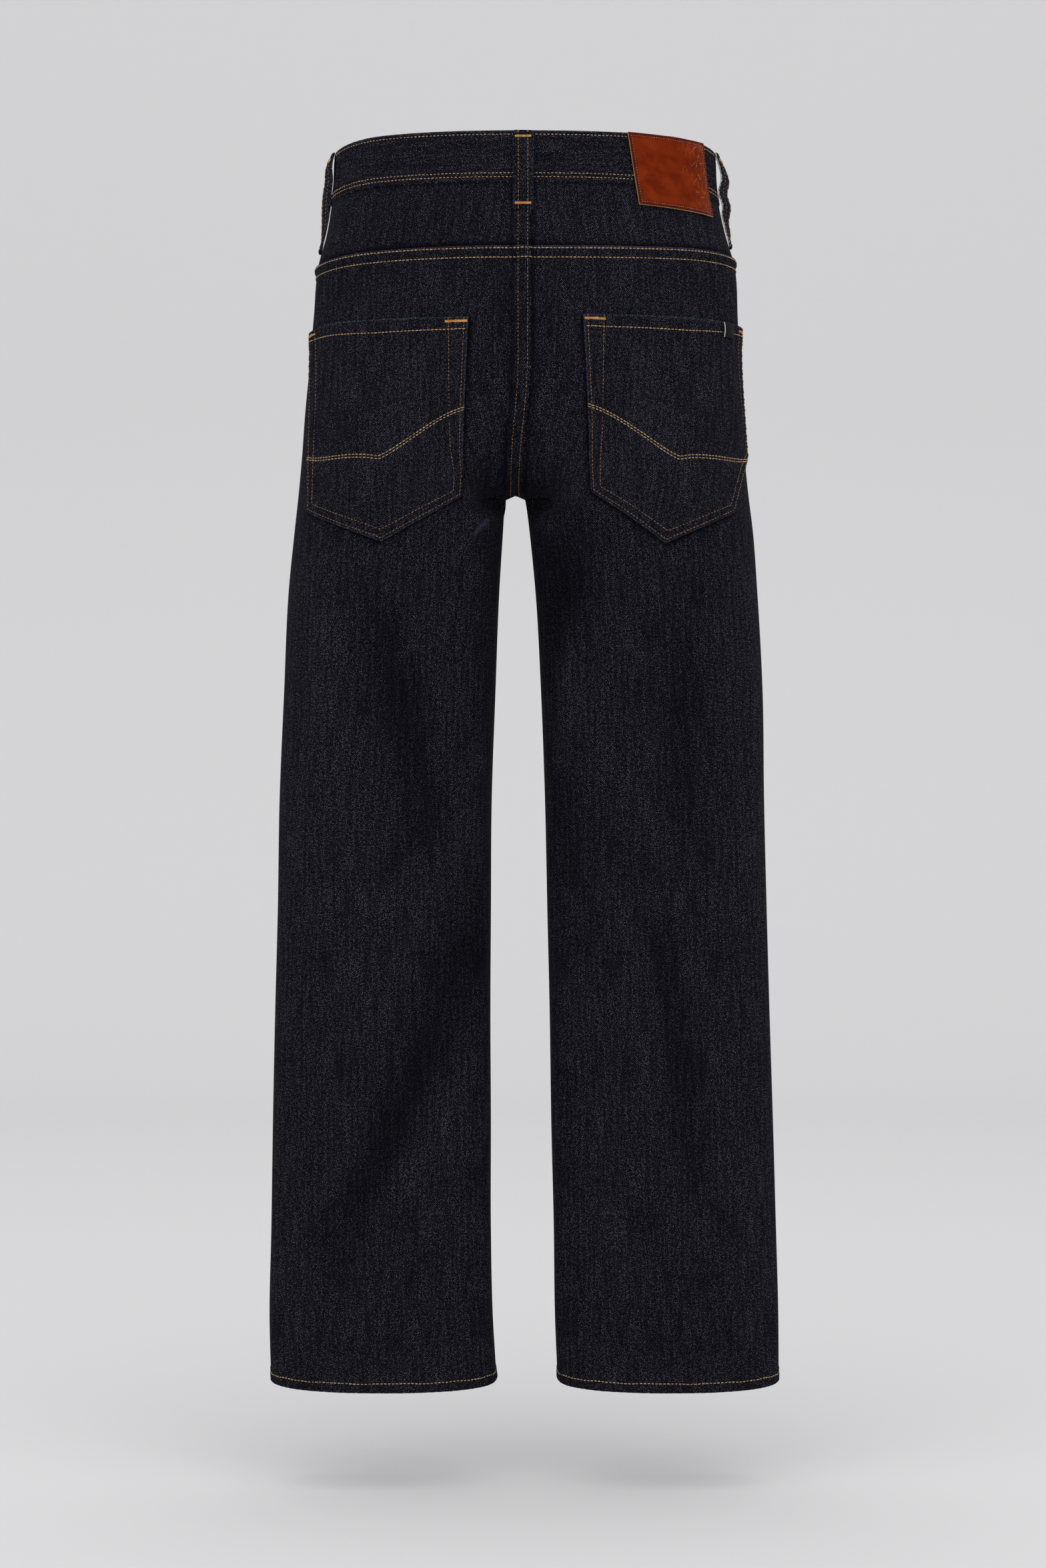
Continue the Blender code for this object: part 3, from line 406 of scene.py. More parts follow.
def leg_ring(side, u, z, seam_z):
    """x and y of the leg's ring at height z, closed up where it meets the crotch."""
    sign = SIDES[side]
    turn = (1 - u) * np.pi
    from_seam = np.minimum(u, 2 - u)
    drop = np.clip(CROTCH_Z - seam_z, 0, None)
    opened = np.sqrt(1 - (1 - np.clip(drop / SADDLE_ROUND, 0, 1)) ** 2)
    outer_x = smooth(LEG_COLUMNS, LEG, side + "_out", z) * sign
    inner_x = smooth(LEG_COLUMNS, LEG, side + "_in", np.minimum(z, CROTCH_Z))
    closed = (inner_x - CROTCH_X) * (1 - opened) * (1 - ease(4 * from_seam))
    level, depth = ring_depth(LEG_COLUMNS, LEG, u, z)
    near = from_seam / CROTCH_SPREAD_AT
    spread = CROTCH_SPREAD * (1 - ease(drop / CROTCH_EASE)) * near * np.exp(0.5 - 0.5 * near**2)
    centre = (outer_x + inner_x) / 2
    half = (outer_x - inner_x) / 2
    x = centre + half * bent(np.cos(turn), RING_POWER) + spread * sign - closed
    return x, level + depth * bent(np.sin(turn), RING_POWER)


def surface(side, u, v):
    """Points of one half of the garment, before folds."""
    u, v = paired(u, v)
    seam_z, z = heights(u, v)
    middle = np.clip(v - 1, 0, 1)
    inner_share = ease(2 * np.minimum(u, 2 - u))
    at_seam = 1 - np.cos(middle * np.pi / 2)
    pull = at_seam + (ease(middle) - at_seam) * inner_share
    torso_x, torso_y = torso_ring(side, u, z)
    leg_x, leg_y = leg_ring(side, u, z, seam_z)
    torso_x = torso_x + np.where(v <= 2, centre_line(seam_z) * (1 - inner_share), 0)
    x = torso_x + (leg_x - torso_x) * pull
    y = torso_y + (leg_y - torso_y) * pull
    return np.stack([x, y, z], axis=-1)


print("centre back at the waist", surface("left", 0.0, 0.0).round(4))

# %% [markdown]
# ## Creases on the surface, pale wear on their ridges and painted shade in their troughs
#
# A crease is a soft bump along a line: highest in the middle of its length and gone at its
# ends. The same bumps tell where indigo rubs off, because a ridge touches chairs and tables
# and a trough doesn't, and a trough is drawn darker than the dye, as painted shade. So the
# surface is built once, finely, and keeps the points, the outward directions and one value of
# wear and painted shade together. Pieces then read it between its points.

# %% The fine grid of both halves
FACE_TURN = 1.6  # how sharply a streak stops where the cloth turns to the other face
STREAK_TAPER = 0.55
FOLD_RUB_AND_SHADE = 0.5  # a big fold rubs half as much as a crease of the same height, and its trough gets half the painted shade
CREASE_TO_RUB_AND_SHADE = 120  # a 1 mm ridge shows as an eighth of full wear, and a 1 mm trough as an eighth of full painted shade
# below nought for painted shade in troughs, above it for wear on ridges
CREASE_RUB_AND_SHADE_LIMITS = (-0.6, 0.3)
GRID_U = np.linspace(0, 2, 321)
GRID_V = np.concatenate([
    np.linspace(0, 1, 91)[:-1],
    np.linspace(1, 2, 61)[:-1],
    np.linspace(0, 1, 301) ** 1.1 + 2,
])


def grid_normals(points):
    """Outward normals of a grid of points, from its cells."""
    return unit(np.cross(np.gradient(points, axis=1), np.gradient(points, axis=0)))


def along_rows(points, normals, table):
    """Sum of the table's streaks at each point, each facing its own side."""
    facing = {"back": ease(normals[..., 1] * FACE_TURN), "front": ease(-normals[..., 1] * FACE_TURN)}
    total = np.zeros(points.shape[:-1])
    for row in table:
        streak = dict(zip(FOLD_COLUMNS, row))
        start = np.array([streak["x0"], streak["z0"]])
        run = np.array([streak["x1"], streak["z1"]]) - start
        away = points[..., [0, 2]] - start
        along = np.clip(away @ run / (run @ run), 0, 1)
        gap = np.linalg.norm(away - along[..., None] * run, axis=-1)
        profile = bell(gap, streak["spread"]) * (1 - STREAK_TAPER * np.abs(2 * along - 1) ** 2)
        total += streak["height"] * profile * facing[streak["face"]]
    return total


def build_half(side):
    """Points with folds and creases, outward normals, and the wear of the dye with painted shade."""
    points = surface(side, GRID_U[None, :], GRID_V[:, None])
    normals = grid_normals(points) * SIDES[side]
    raised = along_rows(points, normals, FOLDS)
    fine = along_rows(points, normals, CREASES)
    points = points + normals * (raised + fine)[..., None]
    normals = grid_normals(points) * SIDES[side]
    above = GRID_V < 2
    crotch = np.searchsorted(GRID_V, 2.0)
    for edge in (0, -1):
        normals[above, edge, 0] = 0  # level across the centre seams
        normals[crotch + 1:, edge] = normals[crotch + 1:, 0] + normals[crotch + 1:, -1]
        normals[crotch - 1:crotch + 1, edge] = (0, 0, -1)
    normals = unit(normals)
    # ridges of creases rub pale, and their troughs get painted shade
    ridge_rub_and_trough_shade = np.clip((raised * FOLD_RUB_AND_SHADE + fine) * CREASE_TO_RUB_AND_SHADE, *CREASE_RUB_AND_SHADE_LIMITS)
    wear_and_shade = ridge_rub_and_trough_shade + along_rows(points, normals, FADES_AND_PAINTED_SHADE)
    return points, normals, wear_and_shade[..., None]


HALVES = {side: build_half(side) for side in SIDES}
print("fine grid of", HALVES["left"][0].shape[:2], "points on each half")

# %% Reading between the grid's points


def blend(field, row_at, column_at, b, a):
    """A field between four of its places: b of the way to the next row, a to the next column."""
    upper = field[row_at, column_at] * (1 - a) + field[row_at, column_at + 1] * a
    lower = field[row_at + 1, column_at] * (1 - a) + field[row_at + 1, column_at + 1] * a
    return upper * (1 - b) + lower * b


def between(fields, row_at, column_at, b, a):
    """Point, normal and wear-and-shade value between their places, the normal at length one."""
    point, normal, wear_and_shade = [blend(field, row_at, column_at, b[..., None], a[..., None]) for field in fields]
    return point, unit(normal), wear_and_shade


def at(side, u, v):
    """Point, normal and wear-and-shade value of one half at (u, v)."""
    u, v = paired(u, v)
    column_at, a = step_of(GRID_U, u)
    row_at, b = step_of(GRID_V, v)
    return between(HALVES[side], row_at, column_at, b, a)


def round_ring(side, u, v):
    """As at(), where u may run a little past the centre back seam."""
    other = "right" if side == "left" else "left"
    own = at(side, np.maximum(u, 0), v)
    far = at(other, np.maximum(-u, 0), v)
    past = (np.asarray(u) < 0)[..., None]
    return [np.where(past, theirs, ours) for ours, theirs in zip(own, far)]


def arcs_of(side):
    """Distance round the cloth from centre back, at each point of the grid."""
    steps = np.abs(np.diff(HALVES[side][0][..., 0], axis=1))
    return np.concatenate([np.zeros((len(GRID_V), 1)), np.cumsum(steps, axis=1)], axis=1)


ARCS = {side: arcs_of(side) for side in SIDES}


def nearest_row(v):
    """Index of the grid's row that lies nearest to v."""
    return np.rint(np.interp(v, GRID_V, np.arange(len(GRID_V)))).astype(int)


def metres_round(side, u, v):
    """Distance round the cloth from centre back to (u, v)."""
    u, v = paired(np.abs(u), v)
    place = u / GRID_U[1]
    column_at = np.clip(place.astype(int), 0, len(GRID_U) - 2)
    row_at = nearest_row(v)
    a = place - column_at
    return ARCS[side][row_at, column_at] * (1 - a) + ARCS[side][row_at, column_at + 1] * a


def u_at_metres(side, metres, v):
    """The u that lies a distance round the cloth from centre back."""
    metres, v = paired(metres, v)
    rows = nearest_row(v).ravel()
    found = [np.interp(abs(far), ARCS[side][row], GRID_U) for far, row in zip(metres.ravel(), rows)]
    return np.sign(metres) * np.reshape(found, metres.shape)


def row_of_depth(depth):
    """v of a line that runs a given depth below the waist edge."""
    return np.asarray(depth) / -SEAT_Z


print("the left half is", round(float(metres_round("left", 2.0, 0.5)), 3), "m round at the hips")

# %% Level lines of the back, for pieces that are placed by height
LEVEL_STEP = 0.002
LEVEL_TOP = 0.010
LEVEL_COUNT = 195
LEVEL_REACH = 150  # steps outwards from centre back


def resampled(places, marks, values):
    """Each field of the values along a line, read at new places on it."""
    return np.stack([np.interp(places, marks, field) for field in values.T], axis=-1)


def level_lines(side):
    """Fields on a regular grid of height and of distance from the centre back."""
    middle = len(GRID_U) // 2
    fields = np.concatenate(HALVES[side], axis=-1)
    levels = LEVEL_TOP - LEVEL_STEP * np.arange(LEVEL_COUNT)
    lines = np.stack([resampled(-levels, -fields[:, place, 2], fields[:, place])
                      for place in range(middle + 1)], axis=1)
    lines[..., 2] = levels[:, None]
    steps = np.linalg.norm(np.diff(lines[..., :3], axis=1), axis=-1)
    arc = np.concatenate([np.zeros((LEVEL_COUNT, 1)), np.cumsum(steps, axis=1)], axis=1)
    reach = LEVEL_STEP * np.arange(LEVEL_REACH)
    even = np.stack([resampled(reach, marks, line) for marks, line in zip(arc, lines)])
    return even, lines, arc


LEVELS = {side: level_lines(side) for side in SIDES}


def on_level(side, z, distance):
    """Point, normal and wear-and-shade value at a height and a distance from centre back."""
    z, distance = paired(z, distance)
    even = LEVELS[side][0]
    row = (LEVEL_TOP - z) / LEVEL_STEP
    place = distance / LEVEL_STEP
    row_at = np.clip(row.astype(int), 0, LEVEL_COUNT - 2)
    column_at = np.clip(place.astype(int), 0, LEVEL_REACH - 2)
    fields = (even[..., 0:3], even[..., 3:6], even[..., 6:7])
    return between(fields, row_at, column_at, row - row_at, place - column_at)


seat_row = round((LEVEL_TOP - SEAT_Z) / LEVEL_STEP)
print("half the seat is", round(float(LEVELS["left"][2][seat_row, -1]), 3), "m round at the back")

# %% [markdown]
# ## Indigo denim
#
# Denim is a 3/1 twill: the dyed warp runs down the leg and covers three of four undyed weft
# threads, which leaves fine diagonals with pale dots between them. Ring-spun warp has thick
# and thin places, which show as short vertical streaks. Both follow the cloth, so the pattern
# reads a UV map that is laid out in metres along the grain. The real twill line is about
# 1 mm wide and its threads 0.4 mm, and both are drawn a little coarser so that they show. An
# attribute pales the ridges of creases and the edges that rub; below nought it is painted
# shade, which darkens the cloth in troughs, beside seams and pockets, and under edges.

# %% Real sizes and dyes of denim
TWILL_LINE = 0.0013  # from one diagonal to the next
TWILL_SLOPE = 47  # degrees from the weft
TWILL_SLOPE_MIRRORED = -50
WAVE_TURN = np.pi / 10  # the scale at which a Wave Texture has one band a unit
DOT_WIDE = 0.00075  # a weft dot, coarser than the 0.4 mm thread
DOT_LONG = 0.00065
SLUB_WIDE = 0.0012
SLUB_LONG = 0.020
STREAK_WIDE = 0.0030  # the dots show a little more in some long streaks than in others
STREAK_LONG = 0.048
MOTTLE = 0.045  # clouds in the dye
INDIGO_DEEP = "#07060c"
INDIGO = "#0f0e16"
WEFT_GREY = "#75757d"
RUBBED_BLUE = "#454d62"
# painted shade: the near black that the attribute mixes in below nought
PAINTED_SHADE_COLOUR = "#040407"
print("a twill line is", TWILL_LINE * 1000, "mm wide")

# %% Patterns that follow the cloth


def stretched_noise(tree, grain, wide, tall, detail=2.0):
    """Noise whose spots are wide by tall metres on the cloth."""
    scaled = add_node(tree, "ShaderNodeVectorMath", {0: grain, 1: (1 / wide, 1 / tall, 1)},
                      operation="MULTIPLY")
    return add_node(tree, "ShaderNodeTexNoise", {"Vector": scaled, "Scale": 1.0, "Detail": detail},
                    noise_dimensions="2D")


def new_material(name, roughness, specular=0.5):
    """An empty Principled material, its tree and its shader."""
    material = bpy.data.materials.new(name)
    material.use_nodes = True
    tree = material.node_tree
    shader = tree.nodes["Principled BSDF"]
    shader.inputs["Roughness"].default_value = roughness
    shader.inputs["Specular IOR Level"].default_value = specular
    return material, tree, shader


def twill_lines(tree, grain, slope):
    """0 to 1 across each diagonal of the twill."""
    angle = np.radians(slope)
    across = (np.sin(angle) / TWILL_LINE, -np.cos(angle) / TWILL_LINE, 0)
    turns = add_node(tree, "ShaderNodeVectorMath", {0: grain, 1: across}, "Value",
                     operation="DOT_PRODUCT")
    along_x = add_node(tree, "ShaderNodeCombineXYZ", {"X": turns})
    return add_node(tree, "ShaderNodeTexWave", {"Vector": along_x, "Scale": WAVE_TURN}, "Fac",
                    bands_direction="X")


def weft_dots(tree, grain, lines, wear_and_shade):
    """How much undyed weft shows: dots along the twill, more where the cloth is worn and fewer under painted
    shade.
    """
    grit = stretched_noise(tree, grain, DOT_WIDE, DOT_LONG, 1.0)
    dots = add_node(tree, "ShaderNodeMapRange", {"Value": grit, "From Min": 0.60, "From Max": 0.73})
    places = stretched_noise(tree, grain, STREAK_WIDE, STREAK_LONG, 3.0)
    dense = add_node(tree, "ShaderNodeMapRange", {
        "Value": places, "From Min": 0.36, "From Max": 0.66, "To Min": 0.42, "To Max": 1.16,
    })
    dots_by_rub_and_shade = add_node(tree, "ShaderNodeMapRange", {
        "Value": wear_and_shade, "From Min": -0.5, "From Max": 0.5, "To Min": 0.25, "To Max": 1.75,
    })
    dense = add_node(tree, "ShaderNodeMath", {0: dense, 1: dots_by_rub_and_shade}, operation="MULTIPLY")
    on_line = add_node(tree, "ShaderNodeMapRange", {
        "Value": lines, "From Min": 0.25, "From Max": 0.90, "To Min": 0.12, "To Max": 1.25,
    })
    shown = add_node(tree, "ShaderNodeMath", {0: dots, 1: dense}, operation="MULTIPLY")
    return add_node(tree, "ShaderNodeMath", {0: shown, 1: on_line}, operation="MULTIPLY", use_clamp=True)


print("weft dots are", DOT_WIDE * 1000, "mm wide")

# %% Finishes of cloth


def denim(name, deep, body, weft, rubbed, slope=TWILL_SLOPE):
    """Twill cloth whose grain follows the UV map, and whose wear and painted shade follow the attribute."""
    material, tree, shader = new_material(name, 0.90, 0.02)
    grain = add_node(tree, "ShaderNodeUVMap", uv_map="grain")
    wear_and_shade = add_node(tree, "ShaderNodeAttribute", None, "Fac", attribute_name="wear_and_shade")
    lines = twill_lines(tree, grain, slope)
    slubs = stretched_noise(tree, grain, SLUB_WIDE, SLUB_LONG)
    dots = weft_dots(tree, grain, lines, wear_and_shade)

    clouds = stretched_noise(tree, grain, MOTTLE, MOTTLE * 1.7, 5.0)
    pale = add_node(tree, "ShaderNodeMath", {0: clouds, 1: 0.35, 2: slubs}, operation="MULTIPLY_ADD")
    # wear pales the dye here, and painted shade below nought darkens it
    pale = add_node(tree, "ShaderNodeMath", {0: wear_and_shade, 1: 0.30, 2: pale}, operation="MULTIPLY_ADD")
    shade = add_node(tree, "ShaderNodeMapRange", {"Value": pale, "From Min": 0.36, "From Max": 0.98})
    dyed = add_node(tree, "ShaderNodeMix", {"Factor": shade, "A": linear(deep), "B": linear(body)}, "Result",
                    data_type="RGBA")
    cloth = add_node(tree, "ShaderNodeMix", {"Factor": dots, "A": dyed, "B": linear(weft)}, "Result",
                     data_type="RGBA")
    rub = add_node(tree, "ShaderNodeMapRange", {"Value": wear_and_shade, "From Min": 0.35, "To Max": 0.80})
    patchy = add_node(tree, "ShaderNodeMapRange", {
        "Value": slubs, "From Min": 0.3, "From Max": 0.6, "To Min": 0.45,
    })
    rub = add_node(tree, "ShaderNodeMath", {0: rub, 1: patchy}, operation="MULTIPLY")
    cloth = add_node(tree, "ShaderNodeMix", {"Factor": rub, "A": cloth, "B": linear(rubbed)}, "Result",
                     data_type="RGBA")
    # painted shade: below nought the attribute mixes the cloth towards a near black
    painted_shade = add_node(tree, "ShaderNodeMapRange", {
        "Value": wear_and_shade, "From Min": -1.0, "From Max": 0.0, "To Min": 0.7, "To Max": 0.0,
    })
    cloth = add_node(tree, "ShaderNodeMix", {"Factor": painted_shade, "A": cloth, "B": linear(PAINTED_SHADE_COLOUR)}, "Result",
                     data_type="RGBA")
    tree.links.new(cloth, shader.inputs["Base Color"])

    height = add_node(tree, "ShaderNodeMath", {0: lines, 1: 0.5, 2: slubs}, operation="MULTIPLY_ADD")
    bump = add_node(tree, "ShaderNodeBump", {"Strength": 0.35, "Distance": 0.0004, "Height": height})
    tree.links.new(bump, shader.inputs["Normal"])
    return material


def mottled(name, roughness, size, dark, pale, bump_share=0.0, metallic=0.0):
    """A material whose two tones drift into each other over a real size."""
    material, tree, shader = new_material(name, roughness, 0.3)
    shader.inputs["Metallic"].default_value = metallic
    place_on = add_node(tree, "ShaderNodeTexCoord", None, "Object")
    spots = add_node(tree, "ShaderNodeTexNoise", {"Vector": place_on, "Scale": 1 / size, "Detail": 3.0})
    share = add_node(tree, "ShaderNodeMapRange", {"Value": spots, "From Min": 0.34, "From Max": 0.68})
    colour = add_node(tree, "ShaderNodeMix", {"Factor": share, "A": linear(dark), "B": linear(pale)},
                      "Result", data_type="RGBA")
    tree.links.new(colour, shader.inputs["Base Color"])
    bump = add_node(tree, "ShaderNodeBump", {"Strength": bump_share, "Distance": 0.0002, "Height": spots})
    tree.links.new(bump, shader.inputs["Normal"])
    return material


# Cotton fibres scatter light, so the cloth is rough and has next to no sheen.
DENIM = denim("raw_indigo_denim", INDIGO_DEEP, INDIGO, WEFT_GREY, RUBBED_BLUE)
DENIM_MIRRORED = denim("raw_indigo_denim_mirrored", INDIGO_DEEP, INDIGO, WEFT_GREY, RUBBED_BLUE,
                       TWILL_SLOPE_MIRRORED)
# The wrong side shows three weft threads to one of warp, so it is pale grey blue.
DENIM_REVERSE = denim("denim_wrong_side", "#39404f", "#6d7585", "#a9adb4", "#8d95a5")
# A cut edge frays: white weft ends stand between dark warp ones.
RAW_EDGE = mottled("frayed_undyed_weft", 0.9, 0.0016, "#14151b", "#c4c3bf", 0.3)
print("denim has", len(DENIM.node_tree.nodes), "nodes")

# %% [markdown]
# ## A wall of cloth
#
# Every cut piece is the same kind of thing: a grid of points on its outside, the same grid
# one cloth thickness further in, and a rim. A free edge of denim is folded over before it is
# sewn, so it is round, and the rim gets a middle row that bulges a little. The grain is
# written to a UV map in metres, and the wear, with its painted shade, goes to an attribute.

# %% Points and faces of a wall
ROUND = 0.42  # how far a folded edge bulges, in cloth thicknesses
EVERY_EDGE = ("first_row", "last_row", "first_column", "last_column")


def grid_faces(rows, columns, shift, flip):
    """Quads over a grid of rows by columns points."""
    r, c = np.meshgrid(np.arange(rows - 1), np.arange(columns - 1), indexing="ij")
    a = (r * columns + c).ravel() + shift
    quads = np.stack([a, a + 1, a + columns + 1, a + columns], axis=1)
    return quads[:, ::-1] if flip else quads


def rim_of(rows, columns):
    """Indices round the edge of a grid, and the edge that each one is on."""
    left = [(r * columns, "first_column") for r in range(rows - 1)]
    bottom = [((rows - 1) * columns + c, "last_row") for c in range(columns - 1)]
    right = [(r * columns + columns - 1, "last_column") for r in range(rows - 1, 0, -1)]
    top = [(c, "first_row") for c in range(columns - 1, 0, -1)]
    return left + bottom + right + top


def wall_points(outer, inner, rim, round_edges):
    """Outer points, inner points and the rim's middle row, which bulges on a folded edge."""
    columns = outer.shape[1]
    inward = {"first_column": 1, "last_column": -1, "first_row": columns, "last_row": -columns}
    flat_out = outer.reshape(-1, 3)
    flat_in = inner.reshape(-1, 3)
    order = [place for place, _ in rim]
    middle = (flat_out[order] + flat_in[order]) / 2
    for k, (place, edge) in enumerate(rim):
        if edge in round_edges:
            away = flat_out[place] - flat_out[place + inward[edge]]
            thick = np.linalg.norm(flat_out[place] - flat_in[place])
            middle[k] += away / max(np.linalg.norm(away), 1e-9) * thick * ROUND
    return np.concatenate([flat_out, flat_in, middle])


def wall_faces(rows, columns, rim):
    """Quads of the outside, of the inside and of the two rows of the rim, in that order."""
    count = rows * columns
    order = np.array([place for place, _ in rim])
    edge_ids = np.arange(len(order)) + 2 * count
    after = np.roll(np.arange(len(order)), -1)
    front_rim = np.stack([order, order[after], edge_ids[after], edge_ids], axis=1)
    back_rim = np.stack([edge_ids, edge_ids[after], order[after] + count, order + count], axis=1)
    outside = grid_faces(rows, columns, 0, False)
    inside = grid_faces(rows, columns, count, True)
    return np.concatenate([outside, inside, front_rim, back_rim])


def facing_out(points, faces):
    """The faces, all turned round where they would enclose a negative volume."""
    a, b, c = [points[faces[:, corner]] for corner in (0, 1, 2)]
    volume = np.einsum("ij,ij->i", a, np.cross(b - a, c - a)).sum()
    return faces[:, ::-1] if volume < 0 else faces


print("a folded edge bulges by", ROUND, "thicknesses")

# %% Grain, wear and finishes of a wall


def grain_of(outer, turned):
    """UVs in metres: across from the middle column, and down the middle column."""
    rows, columns = outer.shape[:2]
    middle = columns // 2
    steps = np.linalg.norm(np.diff(outer, axis=1), axis=-1)
    across = np.concatenate([np.zeros((rows, 1)), np.cumsum(steps, axis=1)], axis=1)
    across = across - across[:, middle:middle + 1]
    falls = np.linalg.norm(np.diff(outer[:, middle], axis=0), axis=-1)
    down = -np.concatenate([[0], np.cumsum(falls)])[:, None] + 0 * across
    start = outer[0, middle, 2]
    return np.stack([down, across] if turned else [across, down + start], axis=-1)


def write_fields(mesh, grain, wear_and_shade, order):
    """Writes the grain's UV map and the wear with its painted shade; the rim takes both from the outside."""
    grain = grain.reshape(-1, 2)
    grain = np.concatenate([grain, grain, grain[order]])
    corners = np.zeros(len(mesh.loops), int)
    mesh.loops.foreach_get("vertex_index", corners)
    mesh.uv_layers.new(name="grain").data.foreach_set("uv", grain[corners].ravel())
    wear_and_shade = wear_and_shade.reshape(-1)
    wear_and_shade = np.concatenate([wear_and_shade, wear_and_shade * 0, wear_and_shade[order]])
    # the attribute holds wear above nought and painted shade below it
    mesh.attributes.new("wear_and_shade", "FLOAT", "POINT").data.foreach_set("value", wear_and_shade)


def cloth_wall(name, outer, inner, wear_and_shade, round_edges=(), turned=False, finishes=None, rim_finish=None):
    """A closed wall: its first finish outside, its second inside, and others on the rim if asked."""
    rows, columns = outer.shape[:2]
    rim = rim_of(rows, columns)
    points = wall_points(outer, inner, rim, round_edges)
    faces = facing_out(points, wall_faces(rows, columns, rim))
    cells = (rows - 1) * (columns - 1)
    kinds = np.zeros(len(faces), int)
    kinds[cells:2 * cells] = 1
    kinds[2 * cells:] = np.tile([(rim_finish or {}).get(edge, 0) for _, edge in rim], 2)
    mesh = bpy.data.meshes.new(name)
    mesh.from_pydata(points, [], faces.tolist())
    write_fields(mesh, grain_of(outer, turned), wear_and_shade, [place for place, _ in rim])
    for finish in finishes or (DENIM, DENIM_REVERSE):
        mesh.materials.append(finish)
    mesh.polygons.foreach_set("material_index", kinds)
    mesh.shade_smooth()
    mesh.update()
    return put_in_scene(name, mesh)


def cut_size(outer):
    """Width, length and area of a grid of cloth laid flat."""
    across = np.linalg.norm(np.diff(outer, axis=1), axis=-1).sum(axis=1).max()
    down = np.linalg.norm(np.diff(outer, axis=0), axis=-1).sum(axis=0).max()
    a = outer[1:, :-1] - outer[:-1, 1:]
    b = outer[1:, 1:] - outer[:-1, :-1]
    area = np.linalg.norm(np.cross(a, b), axis=-1).sum() / 2
    wide, long = round(float(across), 3), round(float(down), 3)
    return wide, long, round(min(float(area), wide * long), 6)


def lay(piece, node):
    """Puts a cloth piece in place of its solid."""
    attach(piece, "root")
    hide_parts(node)


print("a wall takes", DENIM.name, "outside and", DENIM_REVERSE.name, "inside")

# %% [markdown]
# ## Back and front panels
#
# The two backs and two fronts are the longest cuts. Each runs from its top seam to the hem.
# Where two panels meet they are felled: one folds over the other and both are sewn through.
# The left back laps over the right at the centre, and the backs lap up over the yoke. A
# felled seam is four layers thick, so it stands up as a low flat ridge, and the hem, rolled
# twice, pulls into slanting ripples as it is sewn.

# %% Reliefs of the seams and the hem
SEAM_RIDGE = 0.0006
SEAM_WIDE = 0.0075  # from the seam line to the far stitch row
LAP_RIDGE = 0.0005  # a lapped or rolled edge stands this much prouder
INSEAM_GROOVE = 0.0004
HEM_RUN = CROTCH_SIDE_Z - HEM_Z
HEM_ROW = 0.0075  # stitch row above the hem edge
HEM_DENT = 0.0003
HEM_RIPPLE = 0.00035
HEM_RIPPLE_LONG = 0.0078  # from one ripple to the next
HEM_RIPPLE_TALL = 0.016  # the height in which a ripple slants over by one
HALF_ROUND = 0.26  # metres round the back for one step of u, on average


def plateau(distance, wide, soft=0.0015):
    """1 within a distance, 0 beyond it, with a soft shoulder."""
    return ease((wide + soft - distance) / soft)


def above_hem(v):
    """Height above the hem edge."""
    return (3 - v) * HEM_RUN


def above_fork(v):
    """1 down to the crotch, 0 below it."""
    return ease((2.02 - v) / 0.05)


def hem_relief(u, v):
    """The rolled hem: thicker below its stitch row, and slanted ripples."""
    height = above_hem(v)
    roll = LAP_RIDGE * plateau(height, HEM_ROW + 0.003)
    dent = HEM_DENT * bell(height - HEM_ROW, 0.0012)
    slant = np.sin(2 * np.pi * (u * HALF_ROUND / HEM_RIPPLE_LONG + height / HEM_RIPPLE_TALL))
    slant = slant + 0.5 * np.sin(41.0 * u + 2.0)
    return roll - dent + HEM_RIPPLE * slant * plateau(height, HEM_ROW - 0.001, 0.002)


def back_relief(side, u, v):
    """Relief of a back panel along its centre seam, its inseam and its hem."""
    from_centre = metres_round(side, u, v)
    pucker = 1 + 0.35 * np.sin(v * 160 + 3 * SIDES[side])
    seat = SEAM_RIDGE * pucker * plateau(from_centre, SEAM_WIDE) * above_fork(v)
    inseam = INSEAM_GROOVE * bell(from_centre, 0.0014) * (v > 2)
    return seat - inseam + hem_relief(u, v)


def thickness_at(v):
    """One layer, or three at the rolled hem."""
    return CLOTH + (HEM_CLOTH - CLOTH) * plateau(above_hem(v), HEM_HEIGHT)


print("the hem's ripples are", round(HEM_RIPPLE * 2000, 2), "mm high")

# %% Where one piece laps over another
SEAT_LAP = 0.0064  # the left back folds this far over the right
YOKE_LAP = 0.0047  # the backs fold this far up over the yoke
LAP_SLOPE = 0.006  # the lapping half climbs over this width
LAP_CLIMB = CLOTH + 2 * SEAM_GAP


def yoke_row(side, u):
    """v of the yoke seam on one half."""
    return row_of_depth(YOKE_DEPTH + YOKE_SIDE_DROP[side] * ease(np.clip(u, 0, 1)))


def lap_share(v):
    """1 where the left back laps over the right, closing to 0 at the crotch."""
    return ease((1.99 - v) / 0.10)


def lap_columns(side, v, share):
    """u of a piece's columns: share 0 is its edge at centre back, or past it, and 1 the outseam."""
    reach = u_at_metres("right", SEAT_LAP * lap_share(v[:, :1]), v[:, :1])
    start = -reach if side == "left" else 0 * reach
    return start + (1 - start) * share


def centre_lap(side, u, v):
    """How far the left half is lifted where it folds over the right."""
    past = np.where(np.asarray(u) < 0, 1, 1 - metres_round(side, u, v) / LAP_SLOPE)
    over = ease(past) * lap_share(v)
    return over * LAP_CLIMB if side == "left" else 0 * over


def above_centre(side, points, v):
    """Keeps a right panel on its own side of the centre seam, above the crotch."""
    middle = centre_line(points[..., 2])
    own = (points[..., 0] - middle) * SIDES[side]
    kept = middle + SIDES[side] * np.maximum(own, SEAM_GAP / 2)
    points[..., 0] = np.where(v <= 2, kept, points[..., 0])
    return points


print("the lapping half climbs", round(LAP_CLIMB * 1000, 1), "mm")

